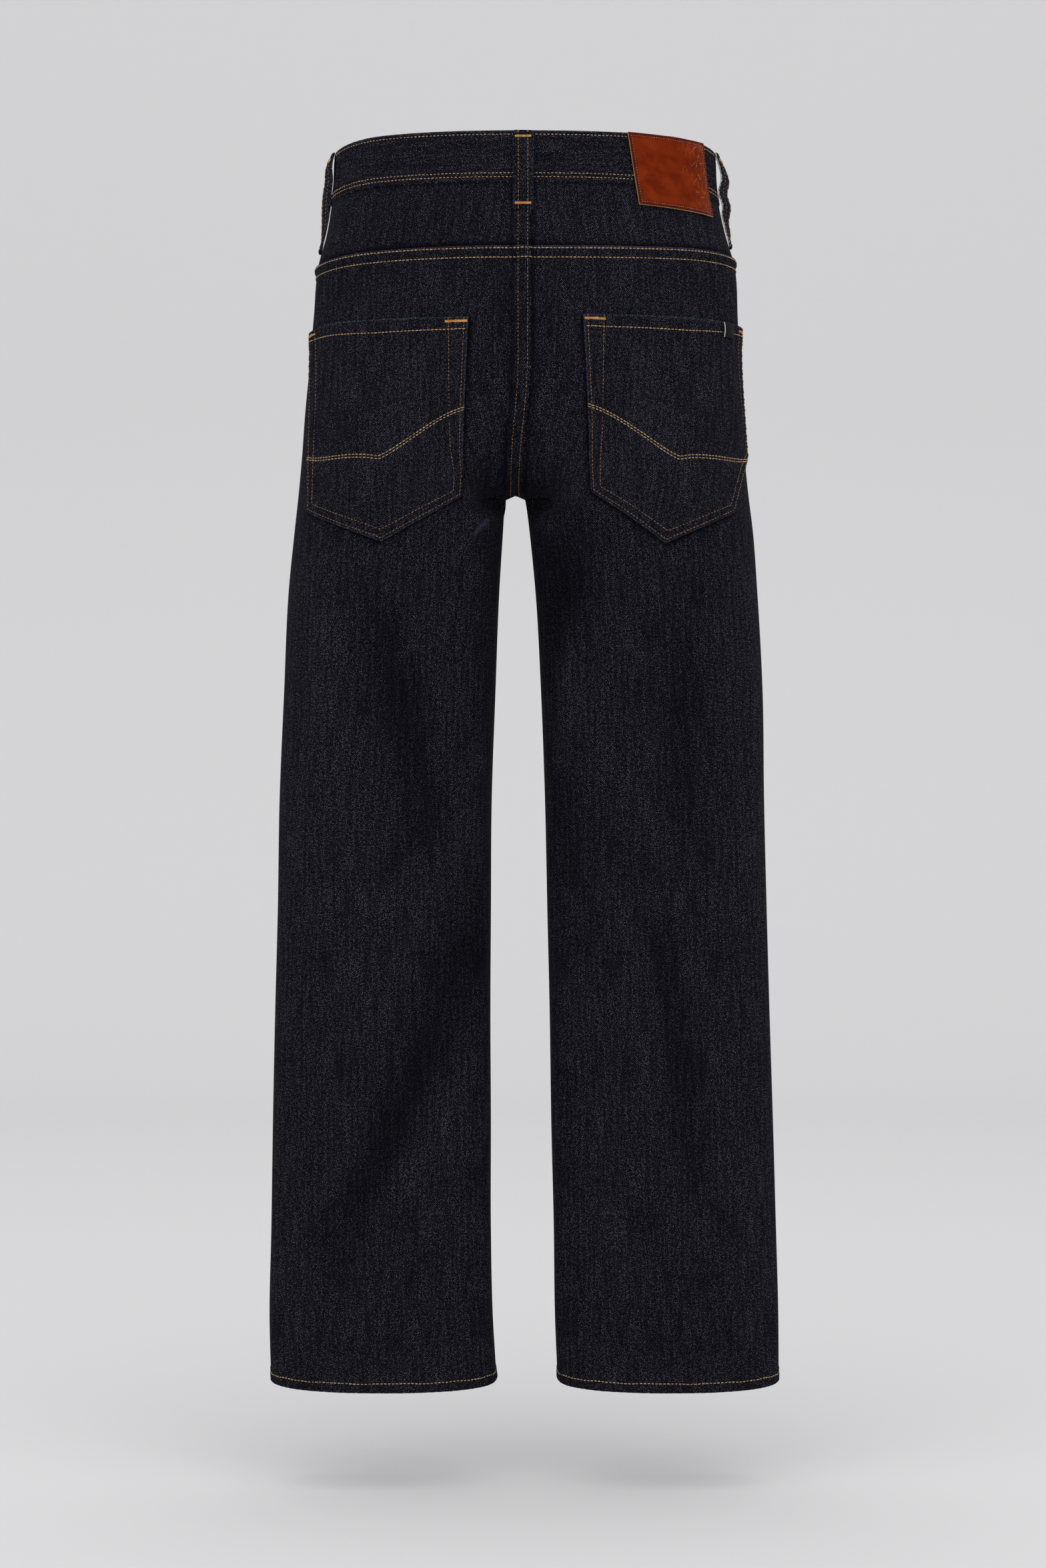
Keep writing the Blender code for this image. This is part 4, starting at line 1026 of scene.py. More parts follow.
# %% Pale folds, and painted shade beside seams, pockets and edges
YOKE_FOLD_WEAR = 0.6
# painted shade: how much darker the cloth is drawn beside the centre seam, beside the backs' fold over the
# yoke and beside the pockets, and under the band
SEAM_SHADE = 0.5
FOLD_SHADE = 0.7
BAND_SHADE = 0.4
HOLLOW_WIDE = 0.0014
POCKET_SHADOW_WIDE = 0.0022
POCKET_SHADOWS = {  # the pockets' edges, as half width and height, which get painted shadow beside them
    "left": ((0.0480, -0.162), (0.0555, -0.3180), (0.1280, -0.3585), (0.1910, -0.3300)),
    "right": ((0.0530, -0.160), (0.0610, -0.3147), (0.1284, -0.3601), (0.1870, -0.3307)),
}


def seam_hollows(side, u, v):
    """0 to 1 in the hollow just beside the centre seam's ridge, where painted shade goes."""
    from_ridge = metres_round(side, u, v) - SEAM_WIDE - 0.0020
    return bell(from_ridge, HOLLOW_WIDE) * above_fork(v)


def beside_pocket(side, point):
    """0 to 1 beside a pocket's thick edge, where painted shadow goes on the panel."""
    x, z = np.abs(point[..., 0]), point[..., 2]
    near = np.full(x.shape, 1.0)
    line = POCKET_SHADOWS[side]
    for (x0, z0), (x1, z1) in zip(line[:-1], line[1:]):
        run, fall = x1 - x0, z1 - z0
        t = np.clip(((x - x0) * run + (z - z0) * fall) / (run**2 + fall**2), 0, 1)
        near = np.minimum(near, np.hypot(x - x0 - t * run, z - z0 - t * fall))
    return bell(near, POCKET_SHADOW_WIDE)


def back_skin(side, u, v):
    """Outer point, normal and wear-and-shade value of a back panel at (u, v)."""
    point, normal, wear_and_shade = round_ring(side, u, v)
    below_seam = (v - yoke_row(side, u)) * -SEAT_Z
    lift = back_relief(side, u, v) + centre_lap(side, u, v)
    lift = lift + LAP_RIDGE * plateau(np.abs(below_seam), YOKE_LAP)
    lift = lift + LAP_CLIMB * ease((0.002 - below_seam) / 0.003)
    rubbed = YOKE_FOLD_WEAR * bell(below_seam + YOKE_LAP, 0.0012)
    # painted shade beside the centre seam's ridge and beside the pockets' edges
    shade = SEAM_SHADE * seam_hollows(side, u, v) + FOLD_SHADE * beside_pocket(side, point)
    return point + normal * lift[..., None], normal, wear_and_shade[..., 0] + rubbed - shade


print("shade reaches", round(POCKET_SHADOW_WIDE * 2000, 1), "mm from a pocket's edge")

# %% Cutting the back panels
HEM_FINE = 0.020  # height of the hem's closer rows


def stepped(fine, step, fine_reach):
    """0 to 1, fine near both ends and even between."""
    near = np.linspace(0, fine_reach, fine + 1)
    even = np.linspace(fine_reach, 1 - fine_reach, int(1 / step))
    return np.unique(np.round(np.concatenate([near, even, 1 - near]), 6))


LEG_ROWS = 2 + np.unique(np.round(np.concatenate([
    np.linspace(0, 0.03, 9),
    np.linspace(0.03, 1 - HEM_FINE / HEM_RUN, 205),
    1 - np.linspace(0, HEM_FINE, 15) / HEM_RUN,
]), 6))


def back_panel(side):
    """A back panel, from its lap over the yoke to the hem."""
    share = stepped(7, 0.0135, 0.045)[None, :]
    top = yoke_row(side, share) - row_of_depth(YOKE_LAP)
    seat_down = stepped(7, 0.035, 0.14)[:, None]
    tuck = np.linspace(1, 2, 44)[1:-1, None] + 0 * share
    v = np.concatenate([top + (1 - top) * seat_down, tuck, LEG_ROWS[:, None] + 0 * share])
    outer, normals, wear_and_shade = back_skin(side, lap_columns(side, v, share), v)
    inner = outer - normals * thickness_at(v)[..., None]
    if side == "right":
        outer, inner = above_centre(side, outer, v), above_centre(side, inner, v)
    return outer, inner, wear_and_shade


for side in SIDES:
    outer, inner, wear_and_shade = back_panel(side)
    piece = cloth_wall("back_leg_" + side, outer, inner, wear_and_shade, ("first_row", "first_column", "last_row"))
    lay(piece, "back_panel_" + side)

# %% [markdown]
# ## Yoke
#
# The yoke is the shaped strip that gives the seat its curve. Its upper edge goes into the
# band, and its lower edge is felled under the backs and ends lower at the left outseam than
# at the right one.

# %% Cutting the yokes
BAND_ROW = float(row_of_depth(BAND_HEIGHT))


def yoke(side):
    """A yoke half, from the band's lower edge to its seam with the back."""
    share = stepped(7, 0.014, 0.045)[None, :]
    down = np.linspace(0, 1, 24)[:, None]
    v = BAND_ROW + (yoke_row(side, share) - BAND_ROW) * down
    u = lap_columns(side, v, share)
    point, normal, wear_and_shade = round_ring(side, u, v)
    lift = SEAM_RIDGE * plateau(metres_round(side, u, v), SEAM_WIDE) + centre_lap(side, u, v)
    outer = point + normal * lift[..., None]
    inner = outer - normal * CLOTH
    if side == "right":
        outer, inner = above_centre(side, outer, v), above_centre(side, inner, v)
    above_fold = (yoke_row(side, u) - v) * -SEAT_Z - YOKE_LAP
    below_band = (v - BAND_ROW) * -SEAT_Z
    # painted shade just above the backs' folded edge, under the band and beside the centre seam
    shade = FOLD_SHADE * bell(above_fold, 0.004) + BAND_SHADE * bell(below_band, 0.0025)
    shade = shade + SEAM_SHADE * seam_hollows(side, u, v)
    return outer, inner, wear_and_shade[..., 0] - shade


for side in SIDES:
    outer, inner, wear_and_shade = yoke(side)
    finish = DENIM_MIRRORED if side == "left" else DENIM
    piece = cloth_wall("yoke_cloth_" + side, outer, inner, wear_and_shade, ("first_column",),
                       finishes=(finish, DENIM_REVERSE))
    lay(piece, "yoke_" + side)

# %% [markdown]
# ## Fronts and pocket facings
#
# Each front is scooped out at the hip, where a hand goes in, and a facing of the same denim
# shows in the scoop. At centre front the left edge laps over the right to hide the zip, down
# to the foot of the fly.

# %% Shape of a front
MOUTH_ROW = float(row_of_depth(POCKET_MOUTH_DEPTH))
FLY_FOOT_ROW = float(row_of_depth(FLY_DEPTH))
MOUTH_ROUND = 2.2  # power of the scoop's curve
MOUTH_WEAR = 0.5
# painted shade on the pocket facing
FACING_SHADE = 0.3


def mouth_edge(v):
    """u of the front's outer edge: the scoop of the pocket mouth, then the outseam."""
    t = np.clip((v - BAND_ROW) / (MOUTH_ROW - BAND_ROW), 0, 1)
    return 1 + POCKET_MOUTH_REACH * (1 - t**MOUTH_ROUND) ** (1 / MOUTH_ROUND)


def fly_lift(v):
    """1 beside the fly, 0 below it."""
    return ease((FLY_FOOT_ROW + 0.12 - v) / 0.12)


def fly_reach(v):
    """How far the left edge laps over the right, down to the foot of the fly."""
    return FLY_LAP * ease((FLY_FOOT_ROW - v) / 0.10)


def front_skin(side, u, v):
    """Outer point, normal and wear-and-shade value of a front panel at (u, v)."""
    point, normal, wear_and_shade = at(side, u, v)
    mouth = (u - mouth_edge(v)) * HALF_ROUND
    bound = v < MOUTH_ROW
    lift = hem_relief(u, v) + LAP_RIDGE * plateau(mouth, 0.010) * bound
    if side == "left":
        beside = ease((u - 2 + FLY_RAMP) / FLY_RAMP)
        lift = lift + (CLOTH + SEAM_GAP) * fly_lift(v) * beside
        shift = -fly_reach(v) * ease((u - 1.94) / 0.06)
        point = point + np.stack([shift, 0 * shift, 0 * shift], axis=-1)
    wear_and_shade = wear_and_shade[..., 0] + MOUTH_WEAR * bell(mouth, 0.002) * bound
    return point + normal * lift[..., None], normal, wear_and_shade


print("the scoop is", round(POCKET_MOUTH_REACH * HALF_ROUND, 3), "m wide along the band")

# %% Cutting the fronts and facings


def front_panel(side):
    """A front panel with its pocket scoop."""
    mouth = BAND_ROW + (MOUTH_ROW - BAND_ROW) * np.sin(np.linspace(0, 1, 30) * np.pi / 2)
    seat = np.linspace(MOUTH_ROW, 1, 24)[1:]
    tuck = np.linspace(1, 2, 38)[1:-1]
    v = np.concatenate([mouth, seat, tuck, LEG_ROWS])[:, None]
    share = stepped(6, 0.0155, 0.045)[None, :]
    edge = mouth_edge(v)
    u = edge + (2 - edge) * share
    v = v + 0 * u
    outer, normals, wear_and_shade = front_skin(side, u, v)
    inner = outer - normals * thickness_at(v)[..., None]
    laps = v <= FLY_FOOT_ROW if side == "left" else v < 0
    for grid in (outer, inner):
        kept = above_centre(side, grid.copy(), v)
        grid[:] = np.where(laps[..., None], grid, kept)
    return outer, inner, wear_and_shade


def pocket_facing(side):
    """Denim facing behind the scoop, one layer further in."""
    v = np.linspace(BAND_ROW, MOUTH_ROW, 30)[:, None]
    share = np.linspace(0, 1, 30)[None, :]
    u = 1 + (mouth_edge(v) - 1 + FACING_UNDERLAP) * share
    point, normal, wear_and_shade = at(side, u, v)
    outer = point - normal * FACING_LIFT
    # the whole facing is drawn darker, as painted shade inside the scoop
    return outer, outer - normal * CLOTH, wear_and_shade[..., 0] - FACING_SHADE


for side in SIDES:
    outer, inner, wear_and_shade = front_panel(side)
    piece = cloth_wall("front_leg_" + side, outer, inner, wear_and_shade, ("last_row", "first_column", "last_column"))
    lay(piece, "front_panel_" + side)
    outer, inner, wear_and_shade = pocket_facing(side)
    piece = cloth_wall("facing_cloth_" + side, outer, inner, wear_and_shade)
    lay(piece, "pocket_facing_" + side)

# %% [markdown]
# ## Waistband
#
# The band is one long strip folded in two round the waist, cut along the warp, so its twill
# lies over on its side. Its top fold is rubbed pale. Small upright puckers run down from the
# needle's pull, and at centre front the left end laps over the right and is buttoned to it.

# %% Shape of the waistband
BAND_PUCKER = 0.0007
BAND_PROUD = 0.0009  # the band's lower fold stands off the cloth it is sewn to
BAND_DENT = 0.00025
BAND_DENTS_AT = (0.08, 0.90)  # shares of the height where stitch rows press in
BAND_FOLD_WEAR = (0.55, 0.2)  # of the top fold and of the lower one
BAND_END_U = (2.0, 1.985, 1.97)  # the left end's first columns
BAND_END_LAP = (1.0, 0.62, 0.30)  # their shares of the way past centre front


def band_climb(u):
    """How far the left end is lifted on its way over the right one."""
    return ease((u - 2 + BAND_LAP_RAMP) / BAND_LAP_RAMP) * (BAND_CLOTH + 2 * SEAM_GAP)


def band_relief(u, v, seed):
    """Puckers that hang from the sewing, and the proud lower fold."""
    share = v / BAND_ROW
    wobble = np.sin(u * 92 + seed) * np.sin(u * 31 + 2 * seed) + 0.5 * np.sin(u * 151 + 3 * share + seed)
    pucker = BAND_PUCKER * wobble * np.sin(np.pi * np.clip(share, 0, 1)) ** 0.6
    dents = BAND_DENT * sum(bell(share - height, 0.03) for height in BAND_DENTS_AT)
    return pucker - dents + BAND_PROUD * ease((share - 0.55) / 0.4)


def band_skin(u_left, u_right, v):
    """Outer point, normal and wear-and-shade value of the band, over the left half and then the right."""
    u_left, u_right = u_left[None, :], u_right[None, :]
    halves = [at("left", u_left, v), at("right", u_right, v)]
    point, normal, wear_and_shade = [np.concatenate(pair, axis=1) for pair in zip(*halves)]
    left_lift = band_climb(u_left) + band_relief(u_left, v, 1.0)
    lift = np.concatenate([left_lift, band_relief(u_right, v, 4.0)], axis=1)
    return point + normal * lift[..., None], normal, wear_and_shade[..., 0]


print("the band's puckers are", round(BAND_PUCKER * 1000, 1), "mm high")

# %% Cutting the waistband
ramp = np.linspace(2 - BAND_LAP_RAMP * 0.15, 2 - BAND_LAP_RAMP, 16)
BAND_LEFT_U = np.concatenate([BAND_END_U, ramp, np.linspace(2 - BAND_LAP_RAMP, 0, 110)[1:-1]])
BAND_RIGHT_U = np.linspace(0, 2, 126)
near_top = [0, 0.012, 0.03, 0.055, 0.08, 0.11]
near_foot = [0.87, 0.90, 0.93, 0.96, 0.985, 1]
share = np.array([*near_top, *np.linspace(0.15, 0.85, 10), *near_foot])[:, None]
outer, normals, wear_and_shade = band_skin(BAND_LEFT_U, BAND_RIGHT_U, share * BAND_ROW)
outer[:, :len(BAND_END_LAP), 0] -= np.array(BAND_END_LAP) * BAND_LAP / 2
wear_and_shade = wear_and_shade + BAND_FOLD_WEAR[0] * bell(share, 0.02) + BAND_FOLD_WEAR[1] * bell(1 - share, 0.02)
BAND = cloth_wall("band_cloth", outer, outer - normals * BAND_CLOTH, wear_and_shade, EVERY_EDGE, turned=True,
                  finishes=(DENIM, DENIM))
lay(BAND, "waistband")

# %% [markdown]
# ## Back pockets
#
# A patch pocket is cut five-sided, its edges are folded in and pressed, and it is sewn down
# on the finished back. So it follows every fold beneath it, one layer further out. Its folded
# edges are double, and the mouth is rolled and sewn before the pocket goes on.

# %% Pocket shapes
POCKET_COLUMNS = (
    "side", "in_top", "in_low", "out_gap", "turn", "turn_x", "low_x",
    "mouth", "droop", "low_in", "low_out", "tip", "tip_at",
)
POCKET_ROWS = (
    ("left", 0.0485, 0.0560, 0.010, -0.165, 0.1900, 0.1910,
     -0.1625, 0.0040, -0.3175, -0.3293, -0.3578, 0.483),
    ("right", 0.0535, 0.0615, 0.007, -0.272, 0.2020, 0.1870,
     -0.1600, 0.0008, -0.3142, -0.3300, -0.3594, 0.527),
)
POCKETS = [dict(zip(POCKET_COLUMNS, row)) for row in POCKET_ROWS]
DROOP_FROM = 0.70  # share of the mouth that runs straight before its outer end droops
EVEN_TO = 0.55  # the grain runs straight down this share of the width, then follows the edge
POCKET_WIDE = 0.160
POCKET_OUT = OVER_POCKET + CLOTH


def at_levels(side, z, wanted_x, columns=25):
    """Distance from centre back where each level line reaches an x, or its whole length."""
    levels = LEVEL_TOP - LEVEL_STEP * np.arange(LEVEL_COUNT)
    low, high = np.searchsorted(-levels, [-z.max() - LEVEL_STEP, -z.min() + LEVEL_STEP])
    rows = range(max(low - 1, 0), min(high + 1, LEVEL_COUNT))
    _, lines, arcs = LEVELS[side]
    if wanted_x is None:
        return np.interp(-z, -levels[rows], arcs[rows, -1])
    steps = np.linspace(wanted_x.min(), wanted_x.max(), columns)
    widths = [np.maximum.accumulate(lines[row, :, 0] * SIDES[side]) for row in rows]
    table = np.array([np.interp(steps, width, arcs[row]) for row, width in zip(rows, widths)])
    row = np.interp(-z, -levels[rows], np.arange(len(table)))
    place = np.interp(wanted_x, steps, np.arange(columns))
    r, c = np.minimum(row.astype(int), len(table) - 2), np.minimum(place.astype(int), columns - 2)
    return blend(table, r, c, row - r, place - c)


def pocket_reach(pocket, z):
    """Where a pocket's inner edge lies at heights z, and its width there, along the cloth."""
    side = pocket["side"]
    down = np.clip((pocket["mouth"] - z) / (pocket["mouth"] - pocket["low_in"]), 0, 1)
    start = at_levels(side, z, pocket["in_top"] + (pocket["in_low"] - pocket["in_top"]) * down)
    past_turn = (pocket["turn"] - z) / (pocket["turn"] - pocket["low_out"])
    outer_x = pocket["turn_x"] + (pocket["low_x"] - pocket["turn_x"]) * past_turn
    end = np.minimum(at_levels(side, z, None) - pocket["out_gap"], at_levels(side, z, outer_x))
    return start, end - start


def pocket_skin(pocket, p, q, lift=0.0):
    """Point, normal and wear-and-shade value of a pocket: p across from the inner edge, q down."""
    p, q = paired(p, q)
    foot = [pocket["low_in"], pocket["tip"], pocket["low_out"]]
    low = np.interp(p, [0, pocket["tip_at"], 1], foot)
    bend = np.clip((p - DROOP_FROM) / (1 - DROOP_FROM), 0, 1) ** 1.5
    mouth = pocket["mouth"] - pocket["droop"] * bend
    z = mouth + (low - mouth) * q
    start, wide = pocket_reach(pocket, z)
    corners = np.array([pocket["low_in"], pocket["mouth"]])
    even = np.interp(z, corners, pocket_reach(pocket, corners)[1])
    even = np.where(z < pocket["low_in"], wide, even)
    distance = start + p * (even + (wide - even) * ease((p - EVEN_TO) / (1 - EVEN_TO)))
    point, normal, wear_and_shade = on_level(pocket["side"], z, distance)
    return point + normal * (POCKET_OUT + lift)[..., None], normal, wear_and_shade[..., 0]


print("the pockets are", [round(row["mouth"] - row["tip"], 3) for row in POCKETS], "m deep")

# %% Cutting the pockets
POCKET_FOLD = 0.0105  # how far the folded edge reaches in
POCKET_HEM = 0.0135
FOLD_RIDGE = 0.0009
MOUTH_RIDGE = 0.0006
MOUTH_GAPE = 0.0012  # the mouth stands open a little in its middle
EDGE_WEAR = 0.52
MOUTH_EDGE_WEAR = 0.5


def pocket_edge_gap(pocket, p, q):
    """Distance from each point to the pocket's sides and foot, and to its mouth."""
    tall = pocket["mouth"] - (pocket["low_in"] + pocket["tip"]) / 2
    beside = np.minimum(p, 1 - p) * POCKET_WIDE
    return np.minimum(beside, (1 - q) * tall * 0.95), q * tall


def pocket_relief(pocket, p, q):
    """Double edges, a rolled mouth, and the puckers between stitches."""
    edge, mouth = pocket_edge_gap(pocket, p, q)
    ridge = FOLD_RIDGE * plateau(edge, POCKET_FOLD, 0.002) + MOUTH_RIDGE * plateau(mouth, POCKET_HEM, 0.002)
    pucker = 0.00022 * np.sin(q * 130 + p * 9) * plateau(edge, POCKET_FOLD) * (mouth > POCKET_HEM)
    gape = MOUTH_GAPE * np.exp(-mouth / 0.006) * np.sin(np.pi * p) ** 0.5
    return ridge + pucker + gape


def even_with_edges(count, reach):
    """0 to 1 with closer steps within reach of both ends."""
    near = np.array([0, 0.006, 0.014, 0.026, 0.044]) * reach / 0.044
    return np.concatenate([near, np.linspace(reach, 1 - reach, count)[1:-1], 1 - near[::-1]])


for pocket in POCKETS:
    side = pocket["side"]
    p = np.sort(np.append(even_with_edges(56, 0.07), pocket["tip_at"]))[None, :]
    q = even_with_edges(64, 0.09)[:, None]
    p, q = np.broadcast_arrays(p, q)
    relief = pocket_relief(pocket, p, q)
    outer, normals, wear_and_shade = pocket_skin(pocket, p, q, relief)
    edge, mouth = pocket_edge_gap(pocket, p, q)
    wear_and_shade = wear_and_shade + EDGE_WEAR * bell(edge, 0.0008) + MOUTH_EDGE_WEAR * bell(mouth, 0.0010)
    inner = outer - normals * (CLOTH * 0.9 + relief * 0.8)[..., None]
    piece = cloth_wall("pocket_cloth_" + side, outer, inner, wear_and_shade, EVERY_EDGE)
    lay(piece, "back_pocket_" + side)

# %% [markdown]
# ## Belt loops
#
# A loop is a strip turned in on both sides and coverstitched, then tacked down at both ends
# over the band. The ones at centre back and in front lie nearly flat. The two at the sides
# were sewn on with slack, so they stand away in a soft double bow and show daylight behind.

# %% Loop shapes
LOOP_COLUMNS = ("node", "side", "face", "share_top", "share_low", "profile", "twist", "tuck")
LOOP_ROWS = (
    ("belt_loop_back", "left", "back", 0.000, 0.000, "flat_back", 0.0, 0.0),
    ("belt_loop_side_left", "left", "back", 0.940, 0.975, "slack_left", 0.0011, 0.0021),
    ("belt_loop_side_right", "right", "back", 0.940, 0.975, "slack_right", 0.0018, 0.0014),
    ("belt_loop_front_left", "left", "front", 0.530, 0.530, "flat_front", 0.0, 0.0),
    ("belt_loop_front_right", "right", "front", 0.530, 0.530, "flat_front", 0.0, 0.0),
)
LOOPS = [dict(zip(LOOP_COLUMNS, row)) for row in LOOP_ROWS]
LOOP_SEAT = 0.0009
LOOP_PROFILES = {  # points down each loop: depth below the waist edge, and how far it stands off
    "flat_back": (
        (0.0004, LOOP_SEAT), (0.006, 0.0011), (0.012, 0.0026), (0.026, 0.0032),
        (0.045, 0.0030), (0.056, 0.0022), (0.064, 0.0010), (0.070, LOOP_SEAT),
    ),
    "flat_front": (
        (0.0004, LOOP_SEAT), (0.006, 0.0011), (0.013, 0.0028), (0.028, 0.0034),
        (0.048, 0.0032), (0.060, 0.0022), (0.068, 0.0010), (0.075, LOOP_SEAT),
    ),
    "slack_left": (
        (0.0004, LOOP_SEAT), (0.006, 0.0038), (0.014, 0.0058), (0.024, 0.0058),
        (0.037, 0.0068), (0.050, 0.0062), (0.063, 0.0044), (0.076, 0.0024),
        (0.083, 0.0010), (0.090, LOOP_SEAT),
    ),
    "slack_right": (
        (0.0004, LOOP_SEAT), (0.006, 0.0032), (0.014, 0.0066), (0.025, 0.0088),
        (0.035, 0.0062), (0.049, 0.0076), (0.062, 0.0034), (0.073, 0.0026),
        (0.079, 0.0012), (0.085, LOOP_SEAT),
    ),
}
print(len(LOOPS), "belt loops,", LOOP_WIDTH, "m wide")

# %% Making the loops
LOOP_BOW = 0.7  # power of the bow's curve: below 1, it fills out towards its ends


def loop_skin(loop, across, down, lift):
    """Inner point and outward direction of a loop: across from -1 to 1, down from 0 to 1."""
    side = loop["side"]
    profile = np.array(LOOP_PROFILES[loop["profile"]])
    depth = profile[0, 0] + (profile[-1, 0] - profile[0, 0]) * down
    stand = curve_through(profile[:, 0], profile[:, 1], depth)
    share = loop["share_top"] + (loop["share_low"] - loop["share_top"]) * depth / profile[-1, 0]
    u_mid = share if loop["face"] == "back" else 2 - share
    v = row_of_depth(depth)
    middle, outward, _ = at(side, u_mid + 0 * v, v)
    speed = np.linalg.norm(at(side, u_mid + 0.02 + 0 * v, v)[0] - middle, axis=-1) / 0.02
    u = u_mid + across * LOOP_WIDTH / 2 / speed
    point, normal, _ = round_ring(side, u, v)
    bow = np.sin(np.pi * down) ** LOOP_BOW
    stand = stand + across * loop["twist"] * bow - (1 - across) * loop["tuck"] * bow
    stand = np.maximum(stand, LOOP_SEAT)
    return point + normal * stand[..., None] + outward * lift[..., None], outward


across = np.array([-1, -0.96, -0.88, -0.76, *np.linspace(-0.6, 0.6, 7), 0.76, 0.88, 0.96, 1])[None, :]
down = np.linspace(0, 1, 44)[:, None]
across, down = np.broadcast_arrays(across, down)
from_middle = np.abs(across)
rolled = 1 - 0.45 * ease((from_middle - 0.80) / 0.2)
waves = 0.00018 * np.sin(down * 95 + across) * ease(from_middle / 0.6)
dents = 0.0002 * bell(from_middle - 0.44, 0.09)
wear_and_shade = 0.40 * ease((from_middle - 0.85) / 0.15) + 0.05
for loop in LOOPS:
    outer, _ = loop_skin(loop, across, down, LOOP_CLOTH * rolled + waves - dents)
    inner, _ = loop_skin(loop, across, down, 0 * across)
    name = loop["node"].replace("belt_", "") + "_cloth"
    finishes, rim_finish = (DENIM, DENIM_REVERSE), {}
    if loop["node"] == "belt_loop_side_right":
        finishes, rim_finish = (DENIM, DENIM_REVERSE, RAW_EDGE), {"first_column": 2}
    piece = cloth_wall(name, outer, inner, wear_and_shade, EVERY_EDGE, finishes=finishes, rim_finish=rim_finish)
    lay(piece, loop["node"])

# %% [markdown]
# ## Leather patch
#
# The patch is waxed veg-tan leather, sewn over the band and the top of the yoke. Leather this
# thick keeps a pale cut edge, takes a pressed line where it is sewn, and crazes into a net of
# fine lighter cracks where it bends at the hip. It carries nothing else.

# %% Waxed leather
PATCH_BORDER = 0.0027  # stitch row in from the edge
CLOUD_WIDE = 0.017
CLOUD_TALL = 0.013
PORE = 0.0008  # real pores are near 0.2 mm, and are drawn coarser so that they show
CRACK = 0.0042
CRACK_WIDE = 0.035  # of the space between two cracks
HIDE_DEEP = "#641b02"
HIDE_PALE = "#7d2a06"
PORE_BROWN = "#35100a"
CRACKED_WAX = "#b4753f"
PRESSED_BROWN = "#2f0e06"


def waxed_leather():
    """Orange-brown pull-up leather with clouds, cracks and a darkened border."""
    material, tree, shader = new_material("waxed_veg_tan_leather", 0.36, 0.03)
    grain = add_node(tree, "ShaderNodeUVMap", uv_map="grain")
    border = add_node(tree, "ShaderNodeAttribute", None, "Fac", attribute_name="wear_and_shade")
    clouds = stretched_noise(tree, grain, CLOUD_WIDE, CLOUD_TALL, 4.0)
    pores = stretched_noise(tree, grain, PORE, PORE, 3.0)
    waxed = add_node(tree, "ShaderNodeMapRange", {"Value": clouds, "From Min": 0.34, "From Max": 0.68})
    hide = add_node(tree, "ShaderNodeMix", {"Factor": waxed, "A": linear(HIDE_DEEP), "B": linear(HIDE_PALE)},
                    "Result", data_type="RGBA")
    open_pores = add_node(tree, "ShaderNodeMapRange", {
        "Value": pores, "From Min": 0.48, "From Max": 0.75, "To Max": 0.5,
    })
    hide = add_node(tree, "ShaderNodeMix", {"Factor": open_pores, "A": hide, "B": linear(PORE_BROWN)},
                    "Result", data_type="RGBA")

    warp = stretched_noise(tree, grain, 0.006, 0.006, 3.0)
    bent_grain = add_node(tree, "ShaderNodeVectorMath", {0: warp, 1: (0.007, 0.005, 0), 2: grain},
                          operation="MULTIPLY_ADD")
    net = add_node(tree, "ShaderNodeVectorMath", {0: bent_grain, 1: (1 / CRACK, 0.3 / CRACK, 1)},
                   operation="MULTIPLY")
    cells = add_node(tree, "ShaderNodeTexVoronoi", {"Vector": net, "Scale": 1.0}, "Distance",
                     feature="DISTANCE_TO_EDGE", voronoi_dimensions="2D")
    lines = add_node(tree, "ShaderNodeMapRange", {
        "Value": cells, "From Max": CRACK_WIDE, "To Min": 1.0, "To Max": 0.0,
    })
    corner = add_node(tree, "ShaderNodeVectorMath", {0: grain, 1: (16.0, 5.0, 0)}, "Value",
                      operation="DOT_PRODUCT")
    patchy = stretched_noise(tree, grain, 0.012, 0.010, 2.0)
    flexed = add_node(tree, "ShaderNodeMath", {0: patchy, 1: corner}, operation="ADD")
    where = add_node(tree, "ShaderNodeMapRange", {"Value": flexed, "From Min": 0.50, "From Max": 0.95})
    cracks = add_node(tree, "ShaderNodeMath", {0: lines, 1: where}, operation="MULTIPLY")
    hide = add_node(tree, "ShaderNodeMix", {"Factor": cracks, "A": hide, "B": linear(CRACKED_WAX)},
                    "Result", data_type="RGBA")
    pressed = add_node(tree, "ShaderNodeMapRange", {"Value": border, "To Max": 0.8})
    hide = add_node(tree, "ShaderNodeMix", {"Factor": pressed, "A": hide, "B": linear(PRESSED_BROWN)},
                    "Result", data_type="RGBA")
    tree.links.new(hide, shader.inputs["Base Color"])
    height = add_node(tree, "ShaderNodeMath", {0: pores, 1: 0.4, 2: cracks}, operation="MULTIPLY_ADD")
    bump = add_node(tree, "ShaderNodeBump", {"Strength": 0.3, "Distance": 0.0003, "Height": height})
    tree.links.new(bump, shader.inputs["Normal"])
    return material


# Wax gives the face a low gloss, and the cut edge shows the raw tan fibres.
LEATHER = waxed_leather()
LEATHER_EDGE = mottled("cut_leather_edge", 0.7, 0.0011, "#a8814a", "#d9b880")
print("leather cracks lie", CRACK * 1000, "mm apart")

# %% Cutting the patch
PATCH_SIDE = "right"
PATCH_START = 0.0985  # from centre back, halfway down the patch
PATCH_WIDTH = 0.0800
PATCH_TOP = 0.0054
PATCH_SLANT = 0.0023  # its outer top corner is this much lower
PATCH_HEIGHT = 0.0648
PATCH_GAIN = 0.0019  # its outer edge is this much longer
PATCH_LEAN = 0.0104  # its foot lies this much further out than its top
BORDER_DENT = 0.00045
EDGE_DENT = 0.0003


